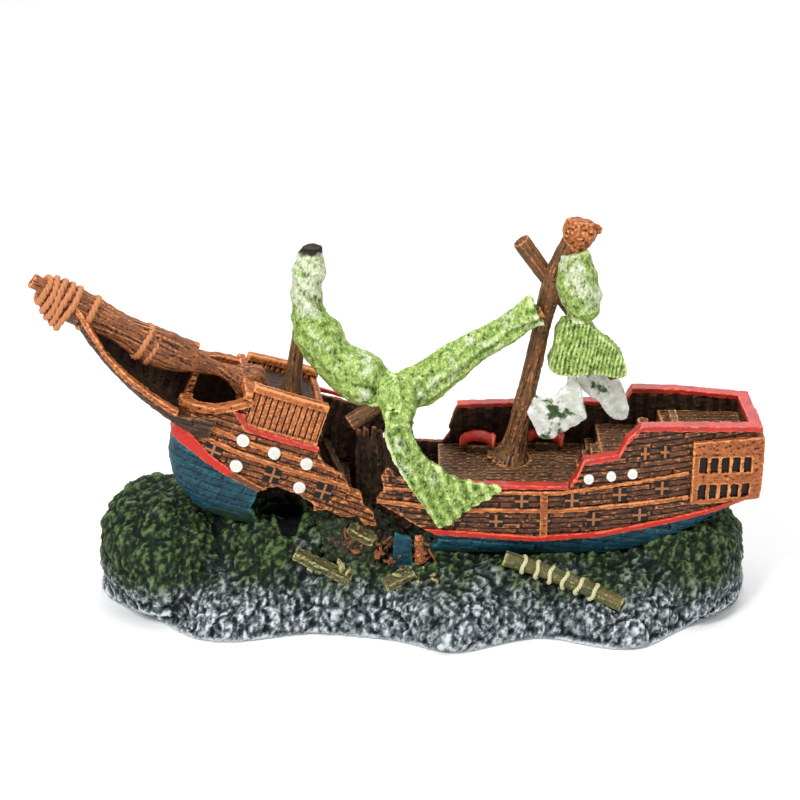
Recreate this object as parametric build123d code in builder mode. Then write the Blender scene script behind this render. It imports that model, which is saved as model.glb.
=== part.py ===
from build123d import *
import math
import os

os.makedirs("parts", exist_ok=True)

# ---------------------------------------------------------------- driving dimensions, mm
WALL = 2.6  # hull wall of both halves
STRIP = 1.1  # how far wales, stripes and rails stand off the hull
BOW_PITCH = 20.0  # the bow half lies bow-up on the rock
BOW_YAW = 9.0  # and turned a little towards the front
CAVITY_TOP = 17.0  # ceiling of the open underside of the rock
AIR_X = -38.0  # the air inlet, in the rear of the rock
AIR_Z = 11.0
BUNG_R = 6.2
BUNG_GAP = 0.3
NIPPLE_R = 2.5
STEM_R = 2.2
NIPPLE_BORE_R = 1.2
STONE_R = 5.0

ROCK_OUTLINE = [
    (-120, 4), (-112, -12), (-94, -25), (-78, -38), (-60, -40), (-38, -35), (-14, -37), (2, -41),
    (19, -48), (38, -42), (56, -38), (72, -43), (90, -45), (108, -32), (126, -20), (137.2, 2),
    (135, 20), (122, 33), (98, 43), (66, 46), (30, 44), (-4, 48), (-40, 45), (-76, 47), (-102, 32),
    (-116, 18),
]
# each mound: (z, centre x, centre y, half length, half depth)
MOUNDS = [
    [(5, -90, 0, 25, 30), (19, -90, 0, 28, 31), (32, -92, 0, 24, 25), (41, -94, 2, 16, 16),
     (45, -95, 3, 8, 8)],
    [(5, -50, 2, 34, 30), (23, -49, 1, 31, 27), (34, -48, 1, 25, 22), (38, -57, 6, 16, 14)],
    [(5, 6, 6, 26, 32), (24, 6, 6, 22, 26), (34, 7, 7, 14, 14)],
    [(5, -22, -20, 20, 15), (17, -23, -20, 17, 12), (24, -25, -19, 12, 8)],
    [(5, 46, -22, 20, 15), (17, 45, -22, 16, 11), (23.5, 43, -21, 9, 6)],
    [(5, 110, 2, 26, 33), (20, 110, 2, 26, 30), (30, 111, 2, 22, 24), (38, 110, 2, 13, 13)],
]
# the rock's outline shrinks towards its spine as it rises: (z, share)
ROCK_RISE = [(0, 1.0), (6, 0.97), (12, 0.88), (18, 0.74), (23, 0.52), (28, 0.3)]

# hull stations: (x, keel z, bilge z, top z, half beam)
BOW_STATIONS = [
    (-47, -5, 4, 34, 3.0), (-41, -20, -6, 34, 11), (-28, -29, -8, 34, 16.8), (-8, -31, -8, 34, 19.4),
    (16, -31, -8, 34, 20), (40, -30, -8, 34, 19.5),
]
BEAK_STATIONS = [
    (-98, 33, 37, 48, 3.0), (-86, 23, 29, 48, 8.5), (-71, 13, 20, 48, 12.5), (-55, 5.5, 13, 48, 15),
    (-36, 0, 8, 48, 17),
]
STERN_STATIONS = [
    (-14, 24, 38, 88, 19.5), (20, 21, 37, 88, 21), (60, 20, 37, 88, 21.5), (94, 24, 40, 88, 20.5),
    (116, 34, 48, 88, 18.8), (134.5, 46, 57, 88, 17),
]

BOW_BREAK_NEAR = [
    (4, 60), (4, 12), (8, 8), (13, 6.5), (18, 4.5), (21, 1), (26, 0), (28, -4), (33, -6.5),
    (37, -12), (32, -12.5), (28, -9.5), (22, -12), (17, -10), (12, -11.5), (11, -40), (60, -40),
    (60, 60),
]
BOW_BREAK_FAR = [
    (35, 60), (35, 17), (38, 13), (36, 8), (39, 3), (37, -4), (41, -10), (38, -17), (42, -26),
    (42, -40), (70, -40), (70, 60),
]
STERN_BREAK_NEAR = [
    (-3, 100), (-4, 65), (-7, 60), (-6, 55), (-9, 50), (-3, 46), (2, 43), (6, 40), (13, 37),
    (15, 32), (11, 28), (16, 18), (-30, 18), (-30, 100),
]
STERN_BREAK_FAR = [
    (21, 100), (21, 71), (18, 66), (20, 61), (17, 56), (6, 57), (-2, 52), (2, 44), (10, 36),
    (8, 28), (14, 18), (-30, 18), (-30, 100),
]
BOW_TOP_NEAR = [(-50, 10), (-44, 11.5), (-37, 14), (-29, 19.5), (-25.5, 22), (-25, 12.8), (12, 12.4)]
BOW_TOP_FAR = [(-50, 25.5), (-37.7, 25.4), (-25.5, 24), (-25, 12.8), (3, 12.8), (3.4, 20.6),
               (26, 20.4)]
BEAK_TOP_NEAR = [(-99, 38.5), (-92, 32.5), (-81, 22.5), (-71, 17), (-60, 12.8), (-50, 10.2),
                 (-44, 11.5), (-37, 14), (-29, 19.5), (-25.2, 22.4)]
BEAK_TOP_FAR = [(-99, 40.5), (-90, 37), (-75, 31), (-60, 27.5), (-45, 26), (-25.2, 24.6)]
STERN_TOP_NEAR = [
    (-20, 66), (-5, 65), (-1, 59.5), (12, 57), (64, 56), (66.5, 60), (69, 66), (82, 68),
    (85, 74), (90, 79), (106, 78.8), (140, 77.5),
]
STERN_TOP_FAR = [
    (-20, 57), (17, 57), (19, 62), (22, 72), (88, 73.5), (90.5, 79), (108, 79), (140, 76.5),
]
BOW_PAINT_LINE = [(-50, -1.5), (-40, -3), (-30, -5.8), (-12, -9.6), (10, -12), (40, -14)]
BOW_STRIPE_TOP = [(-50, 5), (-41, 2.6), (-34, -1.2), (-24, -4.4), (-12, -7.4), (10, -9.8), (40, -12)]
STERN_PAINT_LINE = [(-16, 38), (17, 36.5), (51, 33.8), (76, 35.8), (114, 43.3), (136, 49)]
STERN_PORTS_UPPER = [(28, 51.3), (46, 51.3), (65, 51.6), (83, 53.8), (99, 56)]
STERN_PORTS_LOWER = [(20, 43), (36.5, 42.6), (54.5, 43), (73.5, 43.4), (91, 45)]
STERN_ARCHES = [(92, 70), (99.5, 70.5)]
BOW_PORTS = [(-33, 0.3), (-9.3, -1.6), (11.5, -2.8)]
BOW_STUDS = [(-24.1, 8.7), (-11.5, 7.5), (1.5, 6.7), (-23.4, -1.9), (2, -3.4)]
STERN_STUDS = [(71, 60.5), (79.5, 61.5), (87.5, 62.3)]
CAVE = [(-12, -9), (-6, -6.2), (3, -7), (10.5, -9.5), (12, -16), (8, -26), (-5, -27), (-12, -18)]

STERN = Plane.XY
PITCH = math.radians(BOW_PITCH)
YAW = math.radians(BOW_YAW)
BOW = Plane(
    origin=(-42, 0, 60),
    x_dir=(math.cos(PITCH) * math.cos(YAW), math.cos(PITCH) * math.sin(YAW), -math.sin(PITCH)),
    z_dir=(math.sin(PITCH) * math.cos(YAW), math.sin(PITCH) * math.sin(YAW), math.cos(PITCH)),
)


# ---------------------------------------------------------------- helpers
def on(frame, plane):
    """A plane given in the axes of a tilted frame."""
    return Plane(frame.location * plane.location)


def at(frame, x, y, z):
    """A point given in the axes of a tilted frame."""
    return frame.from_local_coords(Vector(x, y, z))


def hull_section(frame, x, keel, bilge, top, beam):
    """One closed cross-section of a hull, widest at the bilge, falling in to the top."""
    side = [
        (beam * 0.88, top),
        (beam * 0.97, (top + bilge) / 2),
        (beam, bilge),
        (beam * 0.88, bilge + (keel - bilge) * 0.5),
        (beam * 0.5, bilge + (keel - bilge) * 0.9),
        (0, keel),
    ]
    mirrored = [(-y, z) for y, z in reversed(side[:-1])]
    with BuildSketch(on(frame, Plane.YZ.offset(x))) as section:
        with BuildLine():
            Spline(*side, *mirrored)
            Line(mirrored[-1], side[0])
        make_face()
    return section.sketch


def hull_sections(frame, stations, grow, closed):
    """The sections of a hull, grown or shrunk; closed names its closed end."""
    last = len(stations) - 1
    sections = []
    for i, (x, keel, bilge, top, beam) in enumerate(stations):
        end = -1 if i == 0 else 1 if i == last else 0
        if (end < 0 and closed == "start") or (end > 0 and closed == "end"):
            x += end * grow
        elif end and grow < 0:
            x += end
        beam = max(beam + grow, 0.7)
        sections.append(hull_section(frame, x, keel - grow, bilge, top + 2, beam))
    return sections


HULLS = {}
for hull_name, hull_frame, hull_stations, hull_closed, grows in (
    ("bow", BOW, BOW_STATIONS, "start",
     (0, -WALL, -WALL - 0.4, STRIP, STRIP + 0.4, STRIP + 0.8, 0.6, 1.9, 0.3)),
    ("beak", BOW, BEAK_STATIONS, "start", (0, -2.2, 0.9, -3.0)),
    ("stern", STERN, STERN_STATIONS, "end",
     (0, -WALL, -WALL - 0.4, -WALL - 0.6, STRIP, STRIP + 0.5, 0.6, 1.2, 1.8, 2.4)),
):
    for grow in grows:
        with BuildPart() as hull_solid:
            loft(hull_sections(hull_frame, hull_stations, grow, hull_closed))
        HULLS[hull_name, grow] = hull_solid.part


def bow_hull(grow, mode=Mode.ADD):
    add(HULLS["bow", grow], mode=mode)


def beak_hull(grow, mode=Mode.ADD):
    add(HULLS["beak", grow], mode=mode)


def stern_hull(grow, mode=Mode.ADD):
    add(HULLS["stern", grow], mode=mode)


def profile(frame, points):
    """A closed outline on the frame's side view."""
    with BuildSketch(on(frame, Plane.XZ)) as outline:
        with BuildLine():
            Polyline(*points, close=True)
        make_face()
    return outline.sketch


def ribbon(points, below, above):
    """The outline of a band that follows a line from below it to above it."""
    upper = [(x, z + above) for x, z in points]
    lower = [(x, z - below) for x, z in reversed(points)]
    return upper + lower


def over(points):
    """The outline of everything above a line."""
    return points + [(points[-1][0], 130), (points[0][0], 130)]


def under(points):
    """The outline of everything below a line."""
    return points + [(points[-1][0], -60), (points[0][0], -60)]


def cut_near(frame, points):
    extrude(profile(frame, points), amount=60, mode=Mode.SUBTRACT)


def cut_far(frame, points):
    extrude(profile(frame, points), amount=-60, mode=Mode.SUBTRACT)


def cut_through(frame, points):
    extrude(profile(frame, points), amount=60, both=True, mode=Mode.SUBTRACT)


def trim_bow():
    cut_near(BOW, BOW_BREAK_NEAR)
    cut_far(BOW, BOW_BREAK_FAR)


def trim_stern():
    cut_near(STERN, STERN_BREAK_NEAR)
    cut_far(STERN, STERN_BREAK_FAR)


def cut_passage(x, y, radius, top):
    """The way the bubbles take from the cavity under the rock up into a hull half."""
    with BuildSketch(Plane.XY.offset(CAVITY_TOP - 4)) as way:
        with Locations((x, y)):
            Circle(radius)
    extrude(way.sketch, amount=top - CAVITY_TOP + 4, mode=Mode.SUBTRACT)


def band_solids(frame, outlines):
    for outline in outlines:
        extrude(profile(frame, outline), amount=60, both=True)


def spots(frame, places, shape):
    """Straight prisms through both sides, one at each place."""
    with BuildSketch(on(frame, Plane.XZ)) as marks:
        with Locations(*places):
            shape()
    extrude(marks.sketch, amount=60, both=True)


def limb(points, radii, squash=1.0):
    """A spar or bundle: round or oval sections lofted along a path."""
    count = len(points)
    sections = []
    for i, (point, radius) in enumerate(zip(points, radii)):
        before = Vector(*points[max(i - 1, 0)])
        after = Vector(*points[min(i + 1, count - 1)])
        along = (after - before).normalized()
        across = along.cross(Vector(0, 1, 0)).normalized()
        with BuildSketch(Plane(origin=point, x_dir=across, z_dir=along)) as section:
            Ellipse(radius, radius * squash) if squash != 1.0 else Circle(radius)
        sections.append(section.sketch)
    loft(sections)


def collar(frame, x, y, z, along, radius, thick):
    """A rounded ring, such as one turn of rope, about a spar."""
    with BuildSketch(Plane(origin=at(frame, x, y, z), z_dir=along)) as turn:
        Circle(radius)
    extrude(turn.sketch, amount=thick / 2, both=True)


def slab(points, near, thick):
    """A flat torn piece, facing the front, from the near face backwards."""
    with BuildSketch(Plane.XZ.offset(-near)) as outline:
        with BuildLine():
            Spline(*points, periodic=True)
        make_face()
    extrude(outline.sketch, amount=-thick)


def rock_ring(inset, share, z):
    """The rock's outline at one height, drawn in towards its spine."""
    ring = []
    for x, y in ROCK_OUTLINE:
        spine = max(-84, min(100, x))
        reach = math.hypot(x - spine, y)
        scale = (reach * share - inset) / reach
        ring.append((spine + (x - spine) * scale, y * scale))
    with BuildSketch(Plane.XY.offset(z)) as outline:
        with BuildLine():
            Spline(*ring, periodic=True)
        make_face()
    return outline.sketch


def save(piece, name):
    piece.part.label = name
    export_step(piece.part, f"parts/{name}.step")


# ---------------------------------------------------------------- the air supply
with BuildPart() as air_nipple:
    with BuildSketch(Plane.XZ.offset(-12)):
        with Locations((AIR_X, AIR_Z)):
            Circle(STEM_R)
            Circle(NIPPLE_BORE_R, mode=Mode.SUBTRACT)
    extrude(amount=-28.2)
    with BuildSketch(Plane.XZ.offset(-40.2)):
        with Locations((AIR_X, AIR_Z)):
            Circle(NIPPLE_R)
            Circle(NIPPLE_BORE_R, mode=Mode.SUBTRACT)
    extrude(amount=-7.6)

with BuildPart() as air_stone:
    with BuildSketch(Plane.XZ.offset(-16)):
        with Locations((AIR_X, AIR_Z)):
            Circle(STONE_R)
    extrude(amount=26)
    chamfer(air_stone.edges().filter_by(GeomType.CIRCLE), 0.8)
    add(air_nipple.part, mode=Mode.SUBTRACT)

with BuildPart() as air_bung:
    with BuildSketch(Plane.XZ.offset(-29)):
        with Locations((AIR_X, AIR_Z)):
            Circle(BUNG_R)
    extrude(amount=-9.2)
    with BuildSketch(Plane.XZ.offset(-38.2)):
        with Locations((AIR_X, AIR_Z)):
            Circle(BUNG_R + 2.2)
    extrude(amount=-2)
    add(air_nipple.part, mode=Mode.SUBTRACT)

# ---------------------------------------------------------------- bow half
with BuildPart() as foremast:
    limb(
        [at(BOW, -8.8, 0, 26), at(BOW, -10.5, 0, 34), at(BOW, -14, 0, 54), at(BOW, -19.3, 0, 80)],
        [4.2, 3.1, 2.8, 2.2],
    )

with BuildPart() as bowsprit:
    limb(
        [at(BOW, -19, 0, 24.2), at(BOW, -32, 0, 26), at(BOW, -50, 0, 27.4), at(BOW, -72, 0, 30.6),
         at(BOW, -92, 0, 35), at(BOW, -103, 0, 38), at(BOW, -107.5, 0, 39.6), at(BOW, -113.4, 0, 41.4)],
        [3.0, 3.8, 5.4, 6.2, 6.2, 5.6, 3.6, 3.0],
        0.8,
    )

with BuildPart() as bow_ports:
    spots(BOW, BOW_PORTS, lambda: Rectangle(6.2, 6.6))
    bow_hull(0.6, Mode.INTERSECT)
    bow_hull(0, Mode.SUBTRACT)

with BuildPart() as bow_studs:
    spots(BOW, BOW_STUDS, lambda: Circle(2.4))
    bow_hull(1.9, Mode.INTERSECT)
    bow_hull(0, Mode.SUBTRACT)

with BuildPart() as bow_lower_hull:
    bow_hull(0)
    bow_hull(-WALL, Mode.SUBTRACT)
    cut_through(BOW, over(BOW_PAINT_LINE))
    trim_bow()
    cut_near(BOW, CAVE)
    cut_passage(-47, 2, 8, 46)

with BuildPart() as bow_planking:
    bow_hull(0)
    bow_hull(-WALL, Mode.SUBTRACT)
    cut_through(BOW, under(BOW_PAINT_LINE))
    cut_near(BOW, over(BOW_TOP_NEAR))
    cut_far(BOW, over(BOW_TOP_FAR))
    trim_bow()
    cut_near(BOW, CAVE)
    add(bowsprit.part, mode=Mode.SUBTRACT)

with BuildPart() as bow_stripe:
    band_solids(BOW, [BOW_STRIPE_TOP + [(x, z - 0.3) for x, z in reversed(BOW_PAINT_LINE)]])
    bow_hull(STRIP, Mode.INTERSECT)
    cut_near(BOW, [(9, 60), (9, -60), (80, -60), (80, 60)])
    bow_hull(0, Mode.SUBTRACT)
    trim_bow()
    cut_near(BOW, CAVE)
    add(bow_ports.part, mode=Mode.SUBTRACT)

with BuildPart() as bow_wales:
    band_solids(BOW, [
        ribbon([(-44, 9.2), (-22, 8.2), (14, 7.0)], 0.9, 0.9),
        ribbon([(-44, 4.6), (-22, 3.2), (24, 1.6)], 0.9, 0.9),
    ])
    bow_hull(STRIP, Mode.INTERSECT)
    bow_hull(0, Mode.SUBTRACT)
    trim_bow()
    add(bow_ports.part, mode=Mode.SUBTRACT)
    add(bow_studs.part, mode=Mode.SUBTRACT)

with BuildPart() as forecastle:
    bow_hull(0.3)
    bow_hull(-WALL, Mode.SUBTRACT)
    cut_through(BOW, [(-70, -60), (-26, -60), (-26, 130), (-70, 130)])
    cut_through(BOW, [(3, -60), (70, -60), (70, 130), (3, 130)])
    cut_through(BOW, [(-70, -60), (70, -60), (70, 12.8), (-70, 12.8)])
    cut_through(BOW, [(-70, 30.5), (70, 30.5), (70, 130), (-70, 130)])
    for wall_x in (-24.8, 1.8):
        with BuildSketch(on(BOW, Plane.XY.offset(12.8))):
            with Locations((wall_x, 0)):
                Rectangle(2.4, 31)
        extrude(amount=14.5)
    add(bow_planking.part, mode=Mode.SUBTRACT)
    add(bowsprit.part, mode=Mode.SUBTRACT)

with BuildPart() as forecastle_deck:
    band_solids(BOW, [[(-23.5, 23.8), (0.5, 23.8), (0.5, 26), (-23.5, 26)]])
    bow_hull(-WALL, Mode.INTERSECT)
    add(foremast.part, mode=Mode.SUBTRACT)
    add(bowsprit.part, mode=Mode.SUBTRACT)

with BuildPart() as bowsprit_lashings:
    for turn_x, drop, tall, wide in ((-108.4, 0.4, 5.6, 5.0), (-105.8, 0.9, 7.4, 5.8),
                                     (-103.2, 1.4, 8.4, 6.2), (-100.6, 1.8, 9.0, 6.4),
                                     (-98.0, 2.2, 9.4, 6.6), (-90.5, 0, 7.2, 6.0),
                                     (-68.5, 0, 7.2, 6.0), (-64.5, 0, 7.0, 5.9)):
        ring_z = 38 - 0.246 * (turn_x + 103) - drop
        with BuildSketch(on(BOW, Plane(origin=(turn_x, 0, ring_z), x_dir=(0.23, 0, 0.97),
                                       z_dir=(-0.97, 0, 0.23)))):
            Ellipse(tall, wide)
        extrude(amount=0.9, both=True)
    add(bowsprit.part, mode=Mode.SUBTRACT)

with BuildPart() as beakhead:
    beak_hull(0)
    beak_hull(-2.2, Mode.SUBTRACT)
    cut_near(BOW, over(BEAK_TOP_NEAR))
    cut_far(BOW, over(BEAK_TOP_FAR))
    bow_hull(0, Mode.SUBTRACT)
    add(bow_wales.part, mode=Mode.SUBTRACT)
    add(bow_ports.part, mode=Mode.SUBTRACT)
    add(bow_stripe.part, mode=Mode.SUBTRACT)
    add(bowsprit.part, mode=Mode.SUBTRACT)
    add(bowsprit_lashings.part, mode=Mode.SUBTRACT)

with BuildPart() as beakhead_rail:
    extrude(profile(BOW, ribbon(BEAK_TOP_NEAR[:6], 0, 2.4)), amount=60)
    extrude(profile(BOW, ribbon(BEAK_TOP_FAR[:5], 0, 2.4)), amount=-60)
    beak_hull(0.9, Mode.INTERSECT)
    beak_hull(-3.0, Mode.SUBTRACT)
    bow_hull(STRIP, Mode.SUBTRACT)
    add(bowsprit.part, mode=Mode.SUBTRACT)
    add(bowsprit_lashings.part, mode=Mode.SUBTRACT)

with BuildPart() as bow_head_rail:
    extrude(profile(BOW, ribbon(BEAK_TOP_NEAR[4:], 0, 2.8)), amount=60)
    extrude(profile(BOW, ribbon(BOW_TOP_FAR[:3], 0, 2.8)), amount=-60)
    bow_hull(STRIP + 0.8, Mode.INTERSECT)
    bow_hull(-WALL - 0.4, Mode.SUBTRACT)
    for other in (bow_planking, forecastle, beakhead, beakhead_rail, bowsprit):
        add(other.part, mode=Mode.SUBTRACT)

with BuildPart() as bow_rail:
    extrude(profile(BOW, [(-31, 18), (-26.5, 18.5), (-24.5, 14.6), (4, 14.2), (4, 12.2), (-24, 12.6)]),
            amount=60)
    extrude(profile(BOW, ribbon([(3.8, 20.6), (24, 20.4)], 0, 1.8)), amount=-60)
    bow_hull(STRIP + 0.4, Mode.INTERSECT)
    bow_hull(0.3, Mode.SUBTRACT)
    for other in (bow_planking, forecastle, beakhead, beakhead_rail, bow_head_rail, bowsprit):
        add(other.part, mode=Mode.SUBTRACT)

with BuildPart() as cathead_beam:
    with BuildSketch(on(BOW, Plane.XY.offset(25))):
        with Locations((-27.6, 0)):
            Rectangle(2.8, 38)
    extrude(amount=2.8)
    for other in (bowsprit, forecastle, bow_head_rail, bow_planking):
        add(other.part, mode=Mode.SUBTRACT)

with BuildPart() as hold_beams:
    for beam_x, beam_z, tilt in ((8, 8, 0), (17, 0, 6), (25, -8, -5)):
        with BuildSketch(on(BOW, Plane.XY.offset(beam_z))):
            with Locations(Location((beam_x, 2, 0), (0, 0, tilt))):
                Rectangle(2.8, 50)
        extrude(amount=2.8)
    bow_hull(-WALL, Mode.INTERSECT)
    trim_bow()

# ---------------------------------------------------------------- stern half
with BuildPart() as stern_lower_hull:
    stern_hull(0)
    stern_hull(-WALL, Mode.SUBTRACT)
    cut_through(STERN, over(STERN_PAINT_LINE))
    trim_stern()
    cut_passage(42, 0, 8, 40)

with BuildPart() as stern_planking:
    stern_hull(0)
    stern_hull(-WALL, Mode.SUBTRACT)
    cut_through(STERN, under(STERN_PAINT_LINE))
    cut_near(STERN, over(STERN_TOP_NEAR))
    cut_far(STERN, over(STERN_TOP_FAR))
    trim_stern()

with BuildPart() as stern_stripe:
    band_solids(STERN, [ribbon(STERN_PAINT_LINE, 0.3, 2.1)])
    stern_hull(STRIP, Mode.INTERSECT)
    stern_hull(0, Mode.SUBTRACT)
    trim_stern()

with BuildPart() as stern_ports:
    spots(STERN, STERN_PORTS_UPPER + STERN_PORTS_LOWER, lambda: Rectangle(5.2, 5.4))
    spots(STERN, STERN_ARCHES, lambda: Rectangle(3.4, 4.8))
    stern_hull(0.6, Mode.INTERSECT)
    stern_hull(0, Mode.SUBTRACT)
    trim_stern()

with BuildPart() as stern_studs:
    spots(STERN, STERN_STUDS, lambda: Circle(1.9))
    stern_hull(1.8, Mode.INTERSECT)
    stern_hull(0, Mode.SUBTRACT)

with BuildPart() as stern_wales:
    band_solids(STERN, [
        ribbon([(-10, 51), (20, 47.6), (60, 47.2), (90, 49.8), (109, 52)], 0.8, 0.8),
        ribbon([(-6, 56), (20, 54.6), (60, 54.6), (90, 58.8), (109, 62)], 0.5, 0.7),
    ])
    extrude(profile(STERN, [(53.2, 35.8), (56, 35.8), (55.8, 55), (53, 55)]), amount=60, both=True)
    stern_hull(STRIP, Mode.INTERSECT)
    stern_hull(0, Mode.SUBTRACT)
    trim_stern()
    add(stern_ports.part, mode=Mode.SUBTRACT)
    add(stern_studs.part, mode=Mode.SUBTRACT)
    add(stern_stripe.part, mode=Mode.SUBTRACT)

with BuildPart() as stern_gallery:
    band_solids(STERN, [[(110, 49.6), (137, 49.6), (137, 76), (110, 74.5)]])
    stern_hull(2.4, Mode.INTERSECT)
    stern_hull(0, Mode.SUBTRACT)
    add(stern_stripe.part, mode=Mode.SUBTRACT)
    add(stern_wales.part, mode=Mode.SUBTRACT)
    for row_z in (54.6, 65.4):
        with BuildSketch(Plane.XZ):
            with Locations(*[(114 + 4.2 * i, row_z) for i in range(5)]):
                Rectangle(3.0, 6.2)
        extrude(amount=60, both=True, mode=Mode.SUBTRACT)
        with BuildSketch(Plane.YZ.offset(126)):
            with Locations(*[(5.6 * i, row_z + 1) for i in range(-2, 3)]):
                Rectangle(4.0, 6.2)
        extrude(amount=20, mode=Mode.SUBTRACT)

with BuildPart() as gallery_windows:
    for row_z in (54.6, 65.4):
        with BuildSketch(Plane.XZ):
            with Locations(*[(114 + 4.2 * i, row_z) for i in range(5)]):
                Rectangle(3.0, 6.2)
        extrude(amount=60, both=True)
        with BuildSketch(Plane.YZ.offset(126)):
            with Locations(*[(5.6 * i, row_z + 1) for i in range(-2, 3)]):
                Rectangle(4.0, 6.2)
        extrude(amount=20)
    stern_hull(1.2, Mode.INTERSECT)
    stern_hull(0, Mode.SUBTRACT)

with BuildPart() as waist_rail:
    extrude(profile(STERN, ribbon([(14, 56.9), (63.6, 56)], 0, 1.6)), amount=60)
    extrude(profile(STERN, ribbon([(22.5, 72), (87.6, 73.5)], 0, 1.8)), amount=-60)
    stern_hull(STRIP, Mode.INTERSECT)
    stern_hull(-WALL - 0.4, Mode.SUBTRACT)
    add(stern_planking.part, mode=Mode.SUBTRACT)

with BuildPart() as quarter_rail:
    near_line = [(64, 56.3), (66.5, 60), (69, 66), (82, 68), (85, 74), (90, 79), (106, 78.8), (140, 77.5)]
    far_line = [(88, 73.5), (90.5, 79), (108, 79), (140, 76.5)]
    extrude(profile(STERN, ribbon(near_line, 0, 2.2)), amount=60)
    extrude(profile(STERN, ribbon(far_line, 0, 2.2)), amount=-60)
    stern_hull(STRIP + 0.5, Mode.INTERSECT)
    stern_hull(-WALL - 0.6, Mode.SUBTRACT)
    add(stern_gallery.part, mode=Mode.SUBTRACT)
    add(waist_rail.part, mode=Mode.SUBTRACT)

with BuildPart() as main_mast:
    limb(
        [(43, 6, 54.5), (44.4, 6, 60), (45.6, 5.5, 68), (49.5, 4, 90), (54, 3, 116), (60.5, 2, 140),
         (63.5, 2, 148)],
        [9.5, 5.2, 3.9, 3.5, 3.6, 3.9, 3.2],
    )

with BuildPart() as mast_top:
    limb([(64.6, 2, 143.5), (65.4, 2, 148), (66.2, 2, 152), (66.6, 2, 155)], [3.6, 5.6, 6.2, 4.2])
    limb([(66, 2, 151.5), (70, 2, 152), (74, 2, 150.5)], [2.8, 2.4, 1.4])
    add(main_mast.part, mode=Mode.SUBTRACT)

with BuildPart() as main_deck:
    band_solids(STERN, [[(15, 53.2), (73, 53.2), (73, 55.4), (15, 55.4)]])
    stern_hull(-WALL, Mode.INTERSECT)
    trim_stern()
    add(main_mast.part, mode=Mode.SUBTRACT)

with BuildPart() as quarterdeck:
    band_solids(STERN, [[(73, 53.2), (101, 53.2), (101, 64.5), (77, 64.5), (77, 58), (73, 58)]])
    stern_hull(-WALL, Mode.INTERSECT)
    cut_through(STERN, [(75, 40), (99, 40), (99, 62), (79, 62)])

with BuildPart() as poop_deck:
    band_solids(STERN, [[(101, 53.2), (135, 58), (135, 71.5), (101, 71.5)]])
    stern_hull(-WALL, Mode.INTERSECT)
    cut_through(STERN, [(103.2, 40), (127.5, 40), (127.5, 69), (103.2, 69)])

with BuildPart() as deck_ladder:
    with BuildSketch(Plane.XZ.offset(-2)):
        with BuildLine():
            Polyline((68, 55.5), (68, 58.4), (70.5, 58.4), (70.5, 61), (73.2, 61), (73.2, 64.2),
                     (76.9, 64.2), (76.9, 58.1), (72.9, 58.1), (72.9, 55.5), close=True)
        make_face()
    extrude(amount=8)

with BuildPart() as deck_bitts:
    with BuildSketch(Plane.XY.offset(71.5)):
        with Locations((104.5, -1)):
            RectangleRounded(5, 11, 1.5)
    extrude(amount=6, taper=10)
    with BuildSketch(Plane.XY.offset(64.5)):
        with Locations((94, 3)):
            RectangleRounded(6, 9, 1.5)
    extrude(amount=8, taper=8)

with BuildPart() as cannon_carriages:
    for gun_x, gun_y in ((31, 12), (58, 14.5)):
        with BuildSketch(Plane.XY.offset(55.4)):
            with Locations((gun_x, gun_y)):
                Rectangle(9, 4)
        extrude(amount=3)
    stern_hull(-WALL, Mode.INTERSECT)
    add(main_mast.part, mode=Mode.SUBTRACT)

with BuildPart() as cannon_barrels:
    for gun_x, gun_y in ((31, 12), (58, 14.5)):
        limb(
            [(gun_x - 7, gun_y + 1, 60.4), (gun_x - 1, gun_y, 60.8), (gun_x + 6, gun_y - 1.4, 60.4)],
            [2.0, 2.3, 2.7],
        )
    add(cannon_carriages.part, mode=Mode.SUBTRACT)
    add(main_mast.part, mode=Mode.SUBTRACT)

# ---------------------------------------------------------------- spars and sails
with BuildPart() as main_yard:
    limb([(44.6, 4.5, 146), (54, 4.5, 133), (68, 4.5, 114), (83.2, 3.5, 92.5)], [3.2, 3.2, 3.3, 3.8])
    add(main_mast.part, mode=Mode.SUBTRACT)
    add(mast_top.part, mode=Mode.SUBTRACT)

with BuildPart() as fallen_spar:
    limb([(53, -3.5, 121), (20, -5, 103), (-4, -8, 88), (-19, -12, 79)], [2.4, 2.6, 3.0, 3.2])
    add(main_mast.part, mode=Mode.SUBTRACT)

with BuildPart() as fore_sail:
    limb(
        [(-32.6, 0, 145.5), (-33.2, 0, 139), (-34.2, -0.5, 131), (-34.4, -1, 123), (-32.6, -2, 115),
         (-28, -3, 106.5), (-19.5, -4.5, 98.5), (-10.5, -6, 92.5), (-6, -7, 90)],
        [3.6, 5.8, 6.0, 6.0, 8.2, 8.6, 7.8, 7.2, 6.6],
    )
    add(foremast.part, mode=Mode.SUBTRACT)
    add(fallen_spar.part, mode=Mode.SUBTRACT)

with BuildPart() as fallen_sail:
    limb(
        [(51, -3, 121), (44, -3.2, 117), (36, -3.5, 111.5), (26, -4.5, 105.5), (16, -6, 98),
         (6, -7.5, 92), (0, -8, 89)],
        [6.4, 5.6, 5.6, 6.2, 7.4, 8.0, 7.4],
        0.85,
    )
    add(main_mast.part, mode=Mode.SUBTRACT)
    add(fallen_spar.part, mode=Mode.SUBTRACT)
    add(fore_sail.part, mode=Mode.SUBTRACT)

with BuildPart() as draped_sail:
    slab(
        [(-5.5, 88), (-4.6, 77), (-1, 67), (4.4, 57), (11.5, 45), (15.4, 40.5), (21, 44), (28, 50),
         (38, 57.6), (28, 60), (16, 65), (8, 73), (4.5, 84), (1, 89.5)],
        -24.6, 3.0,
    )
    stern_hull(STRIP + 0.5, Mode.SUBTRACT)

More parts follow.
